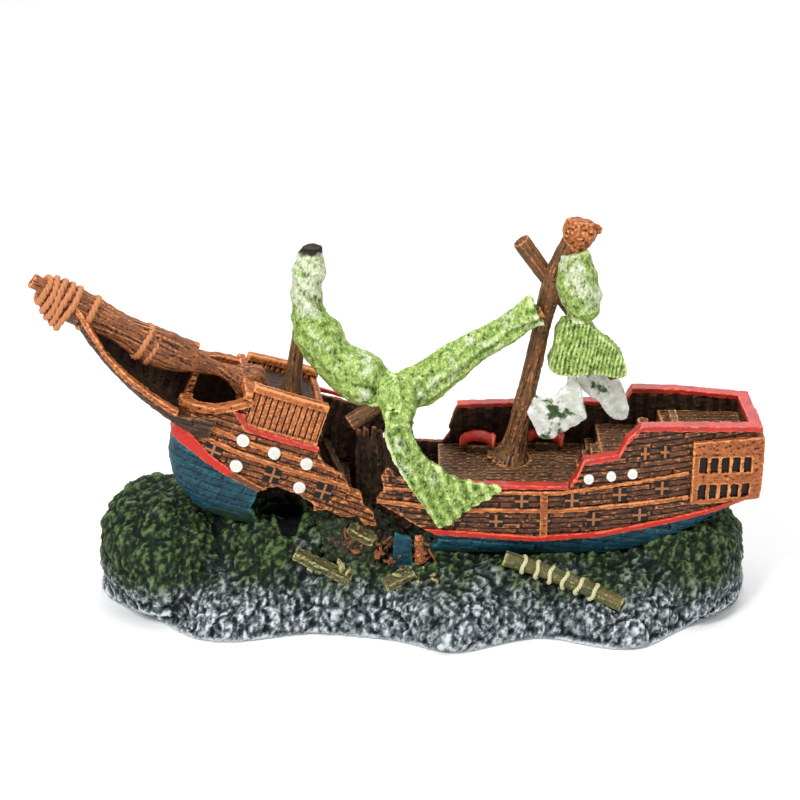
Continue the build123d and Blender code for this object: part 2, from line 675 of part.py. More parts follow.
with BuildPart() as sail_knot:
    limb([(-1, -9.5, 92.5), (-1, -15, 90), (-0.5, -20, 86), (0, -24.5, 82)], [8, 7.4, 6.2, 4.6])
    add(fore_sail.part, mode=Mode.SUBTRACT)
    add(fallen_sail.part, mode=Mode.SUBTRACT)
    add(fallen_spar.part, mode=Mode.SUBTRACT)
    add(draped_sail.part, mode=Mode.SUBTRACT)

with BuildPart() as main_topsail:
    limb(
        [(64, 0, 143), (64.6, -1, 138), (66, -1.5, 130), (68, -1.5, 123), (66.5, -1.5, 117)],
        [5.2, 6.6, 7.8, 6.8, 4.6],
    )
    add(main_mast.part, mode=Mode.SUBTRACT)
    add(mast_top.part, mode=Mode.SUBTRACT)
    add(main_yard.part, mode=Mode.SUBTRACT)

with BuildPart() as main_sail:
    slab(
        [(63, 118), (69.5, 117), (75.6, 111), (83, 104), (84.4, 95), (75.5, 96), (65, 95.4),
         (56.4, 97.6), (57.5, 106)],
        -5.5, 8,
    )
    add(main_mast.part, mode=Mode.SUBTRACT)
    add(main_yard.part, mode=Mode.SUBTRACT)
    add(main_topsail.part, mode=Mode.SUBTRACT)

with BuildPart() as torn_sail_port:
    slab([(50.6, 84), (58, 83), (63, 87.5), (66, 95), (69.5, 84), (71, 74), (63, 69), (57, 65.6),
          (52, 70)], 1.5, 3)
    add(main_mast.part, mode=Mode.SUBTRACT)
    add(main_yard.part, mode=Mode.SUBTRACT)
    add(main_sail.part, mode=Mode.SUBTRACT)

with BuildPart() as torn_sail_starboard:
    slab([(69.5, 91.5), (77, 94), (85.4, 87), (86, 72), (80.6, 74), (76, 80), (71.5, 83.5)], 5.0, 3)
    add(main_yard.part, mode=Mode.SUBTRACT)
    add(torn_sail_port.part, mode=Mode.SUBTRACT)
    add(main_sail.part, mode=Mode.SUBTRACT)
    add(deck_ladder.part, mode=Mode.SUBTRACT)

# ---------------------------------------------------------------- wreckage on the rock
with BuildPart() as rope_spar:
    limb([(40, -25.6, 28.6), (62, -30.6, 22.6), (84, -38.5, 15.6)], [2.8, 2.8, 2.7])

spar_along = Vector(22, -6.4, -6.5)
with BuildPart() as rope_wraps:
    for step in range(6):
        share = 0.16 + 0.12 * step
        rope_y = -25.6 - 9.4 * share - 3.5 * share**2
        collar(STERN, 40 + 44 * share, rope_y, 28.7 - 12.9 * share, spar_along, 3.5, 1.3)
    add(rope_spar.part, mode=Mode.SUBTRACT)

with BuildPart() as fallen_planks:
    for start, end in (((-40, -25, 30.5), (-19, -29, 20.8)), ((-20, -16, 36.5), (-10, -18, 31.5)),
                       ((-6, -31, 19.5), (5, -27, 23.5))):
        along = (Vector(*end) - Vector(*start)).normalized()
        middle = (Vector(*start) + Vector(*end)) * 0.5
        with BuildSketch(Plane(origin=middle, x_dir=(0.3, -0.9, -0.3), z_dir=along)):
            Rectangle(5.2, 3.0)
        extrude(amount=(Vector(*end) - Vector(*start)).length / 2, both=True)
    add(bow_planking.part, mode=Mode.SUBTRACT)
    add(bow_lower_hull.part, mode=Mode.SUBTRACT)
    add(bow_stripe.part, mode=Mode.SUBTRACT)

with BuildPart() as keel_fragment:
    with BuildSketch(Plane.XZ.offset(17)):
        with BuildLine():
            Polyline((-3, 22), (-2, 37), (4, 35), (5, 22), close=True)
        make_face()
    extrude(amount=5)
    stern_hull(0, Mode.SUBTRACT)
    bow_hull(0, Mode.SUBTRACT)

with BuildPart() as broken_frames:
    for low, high in (((8, -21, 24), (7, -20.5, 36)), ((-12, 12, 30), (-8, 14, 48)),
                      ((-20, 10, 30), (-17, 14, 52)), ((0, 8, 30), (2, 12, 44))):
        limb([low, high], [2.2, 1.4])
    bow_hull(0, Mode.SUBTRACT)
    stern_hull(0, Mode.SUBTRACT)
    add(keel_fragment.part, mode=Mode.SUBTRACT)

# ---------------------------------------------------------------- the rock itself
with BuildPart() as rock_base:
    loft([rock_ring(0, share, z) for z, share in ROCK_RISE])
    for mound in MOUNDS:
        for z, x, y, half_x, half_y in mound:
            with BuildSketch(Plane.XY.offset(z)):
                with Locations((x, y)):
                    Ellipse(half_x, half_y)
        loft()
    hollow = [rock_ring(inset, 1, z) for inset, z in ((7, 0), (10, 8), (16, CAVITY_TOP))]
    loft(hollow, mode=Mode.SUBTRACT)
    with BuildSketch(Plane.XZ.offset(-24)):
        with Locations((AIR_X, AIR_Z)):
            Circle(10.3)
    extrude(amount=-16)
    with BuildSketch(Plane.XZ.offset(-20)):
        with Locations((AIR_X, AIR_Z)):
            Circle(BUNG_R + BUNG_GAP)
    extrude(amount=-40, mode=Mode.SUBTRACT)
    with BuildSketch(Plane.XZ.offset(-38)):
        with Locations((AIR_X, AIR_Z)):
            Circle(BUNG_R + 3)
    extrude(amount=-22, mode=Mode.SUBTRACT)
    bow_hull(0, Mode.SUBTRACT)
    stern_hull(0, Mode.SUBTRACT)
    cut_passage(-47, 2, 8, 46)
    cut_passage(42, 0, 8, 40)
    add(rope_spar.part, mode=Mode.SUBTRACT)
    add(rope_wraps.part, mode=Mode.SUBTRACT)
    add(fallen_planks.part, mode=Mode.SUBTRACT)
    add(keel_fragment.part, mode=Mode.SUBTRACT)
    add(broken_frames.part, mode=Mode.SUBTRACT)

with BuildPart() as hold_rubble:
    heap = []
    for z, x, y, half_x, half_y in ((14, -18, -4, 24, 21), (26, -19, -4, 20, 18), (34, -21, -5, 15, 14),
                                    (40, -24, -4, 8, 8)):
        with BuildSketch(Plane.XY.offset(z)) as layer:
            with Locations((x, y)):
                Ellipse(half_x, half_y)
        heap.append(layer.sketch)
    loft(heap)
    for other in (rock_base, bow_lower_hull, bow_planking, bow_stripe, hold_beams, fallen_planks,
                  broken_frames, keel_fragment, stern_lower_hull, stern_planking, stern_stripe):
        add(other.part, mode=Mode.SUBTRACT)
    with BuildSketch(Plane.XY) as below:
        Rectangle(300, 120)
    extrude(below.sketch, amount=19, mode=Mode.SUBTRACT)
    cut_passage(-47, 2, 8.5, 46)

# ---------------------------------------------------------------- hand over
PIECES = {
    "rock_base": rock_base, "rope_spar": rope_spar, "rope_wraps": rope_wraps,
    "fallen_planks": fallen_planks, "keel_fragment": keel_fragment, "broken_frames": broken_frames,
    "air_nipple": air_nipple, "air_stone": air_stone, "air_bung": air_bung,
    "bow_lower_hull": bow_lower_hull, "bow_planking": bow_planking, "bow_stripe": bow_stripe,
    "bow_ports": bow_ports, "bow_studs": bow_studs, "bow_wales": bow_wales,
    "bow_rail": bow_rail, "forecastle": forecastle, "forecastle_deck": forecastle_deck,
    "foremast": foremast, "bowsprit": bowsprit, "bowsprit_lashings": bowsprit_lashings,
    "beakhead": beakhead, "beakhead_rail": beakhead_rail, "bow_head_rail": bow_head_rail,
    "hold_rubble": hold_rubble, "cathead_beam": cathead_beam,
    "hold_beams": hold_beams,
    "stern_lower_hull": stern_lower_hull, "stern_planking": stern_planking,
    "stern_stripe": stern_stripe, "stern_ports": stern_ports, "stern_studs": stern_studs,
    "stern_wales": stern_wales, "stern_gallery": stern_gallery, "gallery_windows": gallery_windows,
    "waist_rail": waist_rail, "quarter_rail": quarter_rail, "main_deck": main_deck,
    "quarterdeck": quarterdeck, "poop_deck": poop_deck, "deck_ladder": deck_ladder,
    "deck_bitts": deck_bitts, "cannon_carriages": cannon_carriages, "cannon_barrels": cannon_barrels,
    "main_mast": main_mast, "mast_top": mast_top, "main_yard": main_yard, "fallen_spar": fallen_spar,
    "fore_sail": fore_sail, "fallen_sail": fallen_sail, "sail_knot": sail_knot,
    "draped_sail": draped_sail, "main_topsail": main_topsail, "main_sail": main_sail,
    "torn_sail_port": torn_sail_port, "torn_sail_starboard": torn_sail_starboard,
}
for piece_name, piece in PIECES.items():
    save(piece, piece_name)
    box = piece.part.bounding_box()
    print(piece_name, round(piece.part.volume), [round(v, 1) for v in (*box.min, *box.max)])
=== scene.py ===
import math

import bmesh
import bpy
import numpy as np
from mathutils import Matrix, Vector
from mathutils.bvhtree import BVHTree


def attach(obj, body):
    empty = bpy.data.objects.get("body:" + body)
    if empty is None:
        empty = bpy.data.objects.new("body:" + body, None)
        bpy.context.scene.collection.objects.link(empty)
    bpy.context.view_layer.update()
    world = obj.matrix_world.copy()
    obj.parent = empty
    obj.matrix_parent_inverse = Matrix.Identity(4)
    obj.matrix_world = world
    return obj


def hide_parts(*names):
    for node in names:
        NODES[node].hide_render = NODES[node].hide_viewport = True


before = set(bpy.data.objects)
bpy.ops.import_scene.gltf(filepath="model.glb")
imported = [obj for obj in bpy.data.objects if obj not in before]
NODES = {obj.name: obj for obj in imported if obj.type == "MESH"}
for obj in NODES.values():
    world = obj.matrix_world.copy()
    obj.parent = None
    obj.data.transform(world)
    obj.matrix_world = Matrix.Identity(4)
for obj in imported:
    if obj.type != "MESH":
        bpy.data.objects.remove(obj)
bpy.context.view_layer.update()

MM = 0.001
BODY = "wreck"
AIR = "air_unit"

# ---------------------------------------------------------------- places, in mm of the row frame
# The bow half has axes of its own: x along its keel, y across and z up its masts.
PITCH = math.radians(20)
YAW = math.radians(9)
BOW_ORIGIN = np.array([-42.0, 0.0, 60.0])
BOW_AXES = np.array(
    [
        [math.cos(PITCH) * math.cos(YAW), math.cos(PITCH) * math.sin(YAW), -math.sin(PITCH)],
        [-math.sin(YAW), math.cos(YAW), 0.0],
        [math.sin(PITCH) * math.cos(YAW), math.sin(PITCH) * math.sin(YAW), math.cos(PITCH)],
    ]
)


def bow(p):
    """Points of the row frame, mm, in the bow half's own axes."""
    return (p - BOW_ORIGIN) @ BOW_AXES.T


def unbow(p):
    """Points in the bow half's axes, back in the row frame."""
    return np.asarray(p) @ BOW_AXES + BOW_ORIGIN


def same(p):
    """The stern half lies along the row frame's own axes."""
    return p


# the two ends of each spar
SPRIT = [unbow((-19, 0, 24.2)), unbow((-113.4, 0, 41.4))]
FORE = [unbow((-8.8, 0, 26)), unbow((-19.3, 0, 80))]
MAIN = [(44, 6, 55), (63.5, 2, 148)]
YARD = [(44.6, 4.5, 146), (83.2, 3.5, 92.5)]
FALLEN = [(53, -3.5, 121), (-19, -12, 79)]
ROPED = [(38, -27, 29.5), (86, -43.5, 15)]

# the notch in the rock under the hole in the bow half's side, sunk and painted near black as the cave's
# shade
CAVE_X = -43.0
CAVE_FOOT = 35.0

# the guns on the main deck, one each side of the mast
GUN_X = (31.0, 57.0)

CORNERS = ((-1, -1), (1, -1), (1, 1), (-1, 1))


# ---------------------------------------------------------------- noise
def lattice(ix, iy, iz, seed):
    """A fixed value from -1 to 1 for each whole-number cell."""
    h = (ix * 374761393 + iy * 668265263 + iz * 1442695041 + seed * 974634777) & 0xFFFFFFFF
    h = ((h ^ (h >> 13)) * 1274126177) & 0xFFFFFFFF
    return ((h ^ (h >> 16)) & 0xFFFF) / 32767.5 - 1.0


def noise(p, size, seed=0):
    """Smooth noise from -1 to 1; size is one number or one for each axis, mm."""
    q = p / np.asarray(size, float)
    cell = np.floor(q).astype(np.int64)
    f = q - cell
    f = f * f * (3 - 2 * f)
    total = 0.0
    for dx in (0, 1):
        wx = f[:, 0] if dx else 1 - f[:, 0]
        for dy in (0, 1):
            wy = f[:, 1] if dy else 1 - f[:, 1]
            for dz in (0, 1):
                wz = f[:, 2] if dz else 1 - f[:, 2]
                total = total + wx * wy * wz * lattice(
                    cell[:, 0] + dx, cell[:, 1] + dy, cell[:, 2] + dz, seed
                )
    return total


def fbm(p, size, octaves=3, seed=0, gain=0.5):
    """Noise with finer and weaker copies of itself added."""
    size = np.asarray(size, float)
    total, weight, norm = 0.0, 1.0, 0.0
    for k in range(octaves):
        total = total + weight * noise(p, size / 2**k, seed + 17 * k)
        norm += weight
        weight *= gain
    return total / norm


def worley(p, size, seed=0):
    """Distance to the nearest and the second nearest cell point, in cell sizes, and its number."""
    q = p / np.asarray(size, float)
    cell = np.floor(q).astype(np.int64)
    near = np.full(len(p), 9.0)
    second = near.copy()
    label = np.zeros(len(p))
    for dx in (-1, 0, 1):
        for dy in (-1, 0, 1):
            for dz in (-1, 0, 1):
                c = [cell[:, 0] + dx, cell[:, 1] + dy, cell[:, 2] + dz]
                d = 0.0
                for axis in range(3):
                    spot = c[axis] + 0.5 + 0.45 * lattice(*c, seed + axis)
                    d = d + (q[:, axis] - spot) ** 2
                d = np.sqrt(d)
                closer = d < near
                second = np.where(closer, near, np.minimum(second, d))
                label = np.where(closer, lattice(*c, seed + 7), label)
                near = np.where(closer, d, near)
    return near, second, label


def step(low, high, x):
    """0 at low, 1 at high and smooth between them; low may be the larger one."""
    t = np.clip((x - low) / (high - low), 0, 1)
    return t * t * (3 - 2 * t)


# ---------------------------------------------------------------- meshes
def arrays(mesh):
    """A mesh's points in mm, their normals and its edges."""
    count = len(mesh.vertices)
    co = np.empty(count * 3)
    mesh.vertices.foreach_get("co", co)
    normal = np.empty(count * 3)
    mesh.vertex_normals.foreach_get("vector", normal)
    edge = np.empty(len(mesh.edges) * 2, dtype=np.int32)
    mesh.edges.foreach_get("vertices", edge)
    return co.reshape(-1, 3) / MM, normal.reshape(-1, 3), edge.reshape(-1, 2)


def put(mesh, co):
    mesh.vertices.foreach_set("co", (co * MM).ravel())
    mesh.update()


def smoothed(values, edge, rounds):
    """The values drawn half way to their neighbours' mean, that many times."""
    count = len(values)
    degree = np.bincount(edge.ravel(), minlength=count).clip(1)[:, None]
    for _ in range(rounds):
        total = np.empty_like(values)
        for k in range(values.shape[1]):
            total[:, k] = np.bincount(edge[:, 0], values[edge[:, 1], k], count) + np.bincount(
                edge[:, 1], values[edge[:, 0], k], count
            )
        values = 0.5 * values + 0.5 * total / degree
    return values


def attribute(mesh, name, values):
    layer = mesh.attributes.get(name) or mesh.attributes.new(name, "FLOAT", "POINT")
    layer.data.foreach_set("value", np.asarray(values, dtype=np.float32))


def keep_relief(mesh):
    """Stores how far each point stands out of its surroundings, finely and broadly."""
    co, normal, edge = arrays(mesh)
    fine = smoothed(co, edge, 4)
    broad = smoothed(fine, edge, 16)
    attribute(mesh, "relief", ((co - fine) * normal).sum(1))
    attribute(mesh, "broad", ((co - broad) * normal).sum(1))


def dense(nodes, voxel):
    """The CAD nodes' surface as one fine even mesh."""
    bm = bmesh.new()
    for node in nodes:
        bm.from_mesh(NODES[node].data)
    mesh = bpy.data.meshes.new("dense")
    bm.to_mesh(mesh)
    bm.free()
    return voxelled(mesh, voxel)


def voxelled(mesh, voxel):
    """The mesh remade with even faces of that size, mm."""
    obj = bpy.data.objects.new("dense", mesh)
    bpy.context.collection.objects.link(obj)
    mod = obj.modifiers.new("fine", "REMESH")
    mod.mode = "VOXEL"
    mod.voxel_size = voxel * MM
    mod.adaptivity = 0
    graph = bpy.context.evaluated_depsgraph_get()
    out = bpy.data.meshes.new_from_object(obj.evaluated_get(graph))
    bpy.data.objects.remove(obj)
    bpy.data.meshes.remove(mesh)
    return out


def finish_piece(name, mesh, material, nodes=(), body=BODY):
    """A smooth-shaded object of the mesh, on its body, in place of those CAD nodes."""
    keep_relief(mesh)
    mesh.materials.clear()
    mesh.materials.append(material)
    mesh.polygons.foreach_set("use_smooth", np.ones(len(mesh.polygons), dtype=bool))
    obj = bpy.data.objects.new(name, mesh)
    mesh.name = name
    bpy.context.collection.objects.link(obj)
    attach(obj, body)
    if nodes:
        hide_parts(*nodes)
    return obj


def carve(name, nodes, voxel, shape, material, calm=0, mask=None, stain_and_shade=None, body=BODY):
    """A fine copy of CAD nodes, moved along its normals by shape(points, normals) mm. The shape may
    also return a shift in x, y and z. The mask, and the stains and painted shade, are stored for the
    paint."""
    mesh = dense(nodes, voxel)
    co, normal, edge = arrays(mesh)
    if calm:
        co = smoothed(co, edge, calm)
        put(mesh, co)
        co, normal, edge = arrays(mesh)
    move = shape(co, normal)
    if isinstance(move, tuple):
        move, shift = move
        co = co + shift
    put(mesh, co + normal * np.asarray(move)[:, None])
    if mask is not None:
        attribute(mesh, "mask", mask(co, normal))
    if stain_and_shade is not None:
        attribute(mesh, "stain_and_shade", np.clip(stain_and_shade(co, normal), 0, 1))
    return finish_piece(name, mesh, material, nodes, body)


# ---------------------------------------------------------------- materials
def graph_of(name):
    """A new material with a Principled shader, its node tree and that shader."""
    material = bpy.data.materials.new(name)
    material.use_nodes = True
    tree = material.node_tree
    tree.nodes.clear()
    out = tree.nodes.new("ShaderNodeOutputMaterial")
    shader = tree.nodes.new("ShaderNodeBsdfPrincipled")
    tree.links.new(shader.outputs[0], out.inputs[0])
    return material, tree, shader


def feed(tree, socket, value):
    """Links a socket to the input, or sets the input to a number or a colour."""
    if isinstance(value, bpy.types.NodeSocket):
        tree.links.new(value, socket)
    elif isinstance(value, tuple) and len(value) == 3:
        socket.default_value = (*value, 1.0)
    else:
        socket.default_value = value


def mix(tree, share, a, b):
    n = tree.nodes.new("ShaderNodeMix")
    n.data_type = "RGBA"
    feed(tree, n.inputs[0], share)
    feed(tree, n.inputs[6], a)
    feed(tree, n.inputs[7], b)
    return n.outputs[2]


def calc(tree, op, a, b=0.0, clamp=False):
    n = tree.nodes.new("ShaderNodeMath")
    n.operation = op
    n.use_clamp = clamp
    feed(tree, n.inputs[0], a)
    feed(tree, n.inputs[1], b)
    return n.outputs[0]


def ramp(tree, value, low, high):
    n = tree.nodes.new("ShaderNodeMapRange")
    n.interpolation_type = "SMOOTHSTEP"
    feed(tree, n.inputs["Value"], value)
    n.inputs["From Min"].default_value = low
    n.inputs["From Max"].default_value = high
    return n.outputs[0]


def grain(tree, size_mm, detail=3.0, stretch=None, rough=0.55):
    """Noise of about that size on the object's own coordinates."""
    where = tree.nodes.new("ShaderNodeTexCoord").outputs["Object"]
    if stretch:
        n = tree.nodes.new("ShaderNodeMapping")
        feed(tree, n.inputs["Vector"], where)
        n.inputs["Scale"].default_value = stretch
        where = n.outputs[0]
    n = tree.nodes.new("ShaderNodeTexNoise")
    feed(tree, n.inputs["Vector"], where)
    n.inputs["Scale"].default_value = 1000.0 / size_mm
    n.inputs["Detail"].default_value = detail
    n.inputs["Roughness"].default_value = rough
    return n.outputs[0]


def stored(tree, name):
    n = tree.nodes.new("ShaderNodeAttribute")
    n.attribute_name = name
    return n.outputs["Fac"]


def painted(
    name,
    base,
    dark,
    light,
    base_b=None,
    light_b=None,
    vary=None,
    low=(-0.16, -0.01),
    high=(0.02, 0.14),
    broad=0.35,
    ragged=0.12,
    light_share=0.9,
    rough=0.55,
    coat=0.0,
    speck=None,
    bump=0.35,
    grain_mm=0.8,
    stretch=None,
    patch_mm=7.0,
    stain_and_shade=None,
    blend=(0.35, 0.65),
    fine_rough=0.55,
    shine=0.25,
):
    """Hand-painted resin: a base coat, a dark wash in the hollows and a dry-brushed light coat on
    what stands out. base_b and light_b take over where the stored mask is 1, and the last colour,
    a stain on some pieces and painted shade on others, covers everything where its stored share is 1."""
    material, tree, shader = graph_of(name)
    relief = calc(
        tree, "ADD", stored(tree, "relief"), calc(tree, "MULTIPLY", stored(tree, "broad"), broad)
    )
    fine = grain(tree, grain_mm, 5.0, stretch, fine_rough)
    patch = grain(tree, patch_mm, 4.0)
    wobble = calc(tree, "MULTIPLY", calc(tree, "SUBTRACT", fine, 0.5), ragged * 2)
    edge = calc(tree, "ADD", relief, wobble)
    colour = base
    if vary:
        colour = mix(tree, ramp(tree, patch, 0.38, 0.62), colour, vary)
    top = light
    if base_b:
        worn = calc(tree, "MULTIPLY", calc(tree, "SUBTRACT", patch, 0.5), 1.2)
        share = ramp(tree, calc(tree, "ADD", stored(tree, "mask"), worn), *blend)
        colour = mix(tree, share, colour, base_b)
        top = mix(tree, share, light, light_b or light)
    colour = mix(tree, ramp(tree, edge, low[1], low[0]), colour, dark)
    catch = calc(tree, "MULTIPLY", ramp(tree, edge, *high), light_share)
    colour = mix(tree, catch, colour, top)
    # stains on the sails; painted shade in the rock's cave, under the break and on the hull's inner
    # faces
    if stain_and_shade:
        colour = mix(tree, calc(tree, "ADD", stored(tree, "stain_and_shade"), 0.0, True), colour, stain_and_shade)
    if speck:
        spots = tree.nodes.new("ShaderNodeTexVoronoi")
        feed(tree, spots.inputs["Vector"], tree.nodes.new("ShaderNodeTexCoord").outputs["Object"])
        spots.inputs["Scale"].default_value = 1000.0 / speck[1]
        few = calc(tree, "GREATER_THAN", grain(tree, speck[1] * 3.5, 1.0), speck[3])
        dots = calc(tree, "MULTIPLY", calc(tree, "LESS_THAN", spots.outputs[0], speck[2]), few)
        colour = mix(tree, dots, colour, speck[0])
    feed(tree, shader.inputs["Base Color"], colour)
    feed(
        tree,
        shader.inputs["Roughness"],
        calc(tree, "ADD", calc(tree, "MULTIPLY", fine, 0.35), rough - 0.17, True),
    )
    shader.inputs["Specular IOR Level"].default_value = shine
    if coat:
        shader.inputs["Coat Weight"].default_value = coat
        shader.inputs["Coat Roughness"].default_value = 0.3
    lift = tree.nodes.new("ShaderNodeBump")
    lift.inputs["Strength"].default_value = bump
    lift.inputs["Distance"].default_value = 0.00025
    feed(tree, lift.inputs["Height"], fine)
    feed(tree, shader.inputs["Normal"], lift.outputs[0])
    return material


DEEP = (0.010, 0.006, 0.004)
# painted shade on the inner faces of the hull halves
PAINTED_SHADE = (0.012, 0.008, 0.006)
ORANGE_HI = (0.78, 0.27, 0.085)

bow_wood = painted(
    "bow_wood", (0.135, 0.044, 0.016), DEEP, ORANGE_HI, vary=(0.22, 0.070, 0.022),
    low=(-0.12, 0.03), high=(0.07, 0.26), ragged=0.24, stain_and_shade=PAINTED_SHADE,
)
hull_wood = painted(
    "hull_wood", (0.080, 0.031, 0.015), DEEP, (0.66, 0.24, 0.085), vary=(0.13, 0.050, 0.021),
    low=(-0.12, 0.03), high=(0.10, 0.28), ragged=0.24, stain_and_shade=PAINTED_SHADE,
)
dark_wood = painted(
    "dark_wood", (0.040, 0.020, 0.012), (0.006, 0.004, 0.003), (0.26, 0.12, 0.05),
    vary=(0.065, 0.032, 0.016), high=(0.08, 0.30), ragged=0.18,
)
orange_wood = painted(
    "orange_wood", (0.30, 0.085, 0.024), DEEP, (0.82, 0.33, 0.12), vary=(0.42, 0.125, 0.034),
    low=(-0.11, 0.02), high=(0.05, 0.22), ragged=0.18,
)
sprit_wood = painted(
    "sprit_wood", (0.27, 0.090, 0.032), DEEP, (0.72, 0.28, 0.11), vary=(0.17, 0.062, 0.026),
    low=(-0.14, 0.03), high=(0.07, 0.26), ragged=0.20,
)
bow_bits = painted(
    "bow_bits", (0.095, 0.032, 0.012), DEEP, (0.34, 0.115, 0.038), vary=(0.045, 0.020, 0.011),
    low=(-0.10, 0.05), high=(0.10, 0.36), ragged=0.5, patch_mm=2.0, light_share=0.8,
)
lashing = painted(
    "lashing", (0.16, 0.056, 0.022), DEEP, (0.56, 0.22, 0.09), vary=(0.22, 0.075, 0.028),
    low=(-0.12, 0.02), high=(0.05, 0.24), ragged=0.28,
)
deck_wood = painted(
    "deck_wood", (0.090, 0.040, 0.018), DEEP, (0.62, 0.30, 0.12), vary=(0.15, 0.065, 0.026),
    low=(-0.10, 0.02), high=(0.06, 0.22), grain_mm=0.7, ragged=0.22,
)
mast_wood = painted(
    "mast_wood", (0.105, 0.054, 0.022), (0.012, 0.007, 0.005), (0.52, 0.20, 0.07),
    vary=(0.17, 0.072, 0.024), low=(-0.11, 0.01), high=(0.06, 0.22), stretch=(1, 1, 0.25), ragged=0.18,
)
red_paint = painted(
    "red_paint", (0.52, 0.022, 0.010), (0.05, 0.008, 0.005), (0.85, 0.16, 0.09), shine=0.45,
    vary=(0.36, 0.018, 0.010), rough=0.42, coat=0.15, low=(-0.18, -0.03), high=(0.08, 0.26),
)
stripe_red = painted(
    "stripe_red", (0.50, 0.025, 0.014), (0.06, 0.010, 0.007), (0.80, 0.14, 0.07),
    base_b=(0.13, 0.045, 0.02), light_b=(0.60, 0.22, 0.08), rough=0.45, low=(-0.14, -0.02),
    high=(0.06, 0.22),
)
# its last, near-black colour is painted shade on the lower hull's inner faces
teal_paint = painted(
    "teal_paint", (0.007, 0.056, 0.082), (0.003, 0.010, 0.014), (0.035, 0.16, 0.20),
    base_b=(0.012, 0.036, 0.020), light_b=(0.05, 0.12, 0.05), vary=(0.005, 0.036, 0.056),
    rough=0.50, low=(-0.14, 0.02), high=(0.07, 0.28), light_share=0.7, ragged=0.20, patch_mm=5.0,
    stain_and_shade=(0.003, 0.003, 0.003),
)
black_paint = painted(
    "black_paint", (0.008, 0.006, 0.005), (0.003, 0.002, 0.002), (0.05, 0.025, 0.015), rough=0.5,
    base_b=(0.34, 0.13, 0.05), light_b=(0.60, 0.28, 0.12), light_share=0.4, ragged=0.05,
)
white_paint = painted(
    "white_paint", (0.66, 0.64, 0.58), (0.10, 0.07, 0.05), (0.85, 0.84, 0.80), rough=0.4,
    low=(-0.40, -0.10), coat=0.2,
)
sail_green = painted(
    "sail_green", (0.165, 0.270, 0.040), (0.028, 0.060, 0.012), (0.66, 0.78, 0.34),
    base_b=(0.50, 0.56, 0.34), light_b=(0.90, 0.92, 0.80), vary=(0.33, 0.46, 0.11),
    low=(-0.30, 0.06), high=(0.02, 0.36), speck=((0.014, 0.018, 0.008), 2.4, 0.20, 0.66),
    ragged=0.62, grain_mm=1.1, rough=0.55, light_share=0.85, patch_mm=2.6, stain_and_shade=(0.016, 0.012, 0.008),
    stretch=(1, 1, 0.55), blend=(0.35, 0.85), fine_rough=0.65,
)
sail_white = painted(
    "sail_white", (0.74, 0.77, 0.70), (0.045, 0.070, 0.035), (0.92, 0.93, 0.90),
    base_b=(0.045, 0.080, 0.028), light_b=(0.30, 0.40, 0.20), vary=(0.60, 0.64, 0.54),
    low=(-0.36, -0.06), high=(0.02, 0.26), ragged=0.26, grain_mm=1.2, patch_mm=3.0,
    blend=(0.42, 0.62),
)
# its last, near-black colour is painted shade: the cave's notch and the ground under the break
rock_paint = painted(
    "rock_paint", (0.070, 0.082, 0.090), (0.006, 0.008, 0.009), (0.66, 0.72, 0.76),
    base_b=(0.012, 0.024, 0.008), light_b=(0.105, 0.160, 0.055), vary=(0.105, 0.125, 0.135),
    low=(-0.34, 0.09), high=(-0.02, 0.52), broad=0.26, ragged=0.50, grain_mm=0.9, rough=0.62, bump=1.0,
    blend=(-0.05, 1.0), patch_mm=6.0, fine_rough=0.70, light_share=0.95, stain_and_shade=(0.002, 0.002, 0.002),
    shine=0.12,
)
rubble_paint = painted(
    "rubble_paint", (0.030, 0.026, 0.018), (0.005, 0.005, 0.004), (0.20, 0.17, 0.08),
    base_b=(0.020, 0.032, 0.012), light_b=(0.12, 0.17, 0.06), vary=(0.050, 0.034, 0.018),
    low=(-0.40, 0.05), high=(0.16, 0.60), broad=0.5, ragged=0.35, grain_mm=1.0, rough=0.6,
)
straw_wood = painted(
    "straw_wood", (0.115, 0.100, 0.036), (0.012, 0.012, 0.006), (0.46, 0.42, 0.17),
    vary=(0.060, 0.070, 0.026), low=(-0.14, 0.02), high=(0.06, 0.26), ragged=0.22,
)
rope_paint = painted(
    "rope_paint", (0.27, 0.25, 0.10), (0.03, 0.026, 0.010), (0.66, 0.62, 0.36),
    low=(-0.14, 0.0), high=(0.05, 0.2),
)


# ---------------------------------------------------------------- carving
def planks(p, pitch, sag, seed, joints=24.0, depth=0.42):
    """Planks along x: grooves between rows, butt joints and a plank height each."""
    level = (p[:, 2] + sag(p[:, 0])) / pitch
    row = np.floor(level)
    across = np.abs(level - row - 0.5) * 2
    groove = step(0.62, 0.98, across)
    rows = row.astype(np.int64)
    zero = np.zeros_like(rows)
    along = p[:, 0] / joints + lattice(rows, zero, zero, seed) * 0.5 + 0.5
    board = np.floor(along)
    end = step(0.93, 1.0, np.abs(along - board - 0.5) * 2)
    height = lattice(rows, board.astype(np.int64), zero, seed + 3)
    return height * 0.20 - depth * np.maximum(groove, end * 0.9)


def roughen(p, amount, size=1.3, seed=5):
    """Chipped, weathered wood: noise drawn out along x."""
    return amount * fbm(p, (size * 1.7, size, size * 0.8), 3, seed)


def bow_side(co, n):
    """Planked outside, ribbed inside and splintered towards the break."""
    q = bow(co)
    m = n @ BOW_AXES.T
    outer = np.abs(m[:, 1]) * (np.sign(m[:, 1]) == np.sign(q[:, 1]))
    board = planks(q, 2.35, lambda x: 0.0016 * (x + 10) ** 2, 11)
    torn = step(-2, 12, q[:, 0] + 0.3 * (q[:, 2] + 8)) * step(60, 30, q[:, 0])
    ribs = -0.5 * step(0.3, 0.8, np.abs(((q[:, 0] + 2 * noise(q, 9, 3)) / 5.2) % 1 - 0.5) * 2)
    inner = (np.abs(m[:, 1]) > 0.4) & (outer < 0.1)
    out = board * step(0.25, 0.6, outer) + roughen(q, 0.42, 1.5, 21)
    return out + torn * 0.55 * fbm(q, 2.6, 3, 8) + np.where(inner, ribs + 0.3 * noise(q, 2.5, 4), 0)


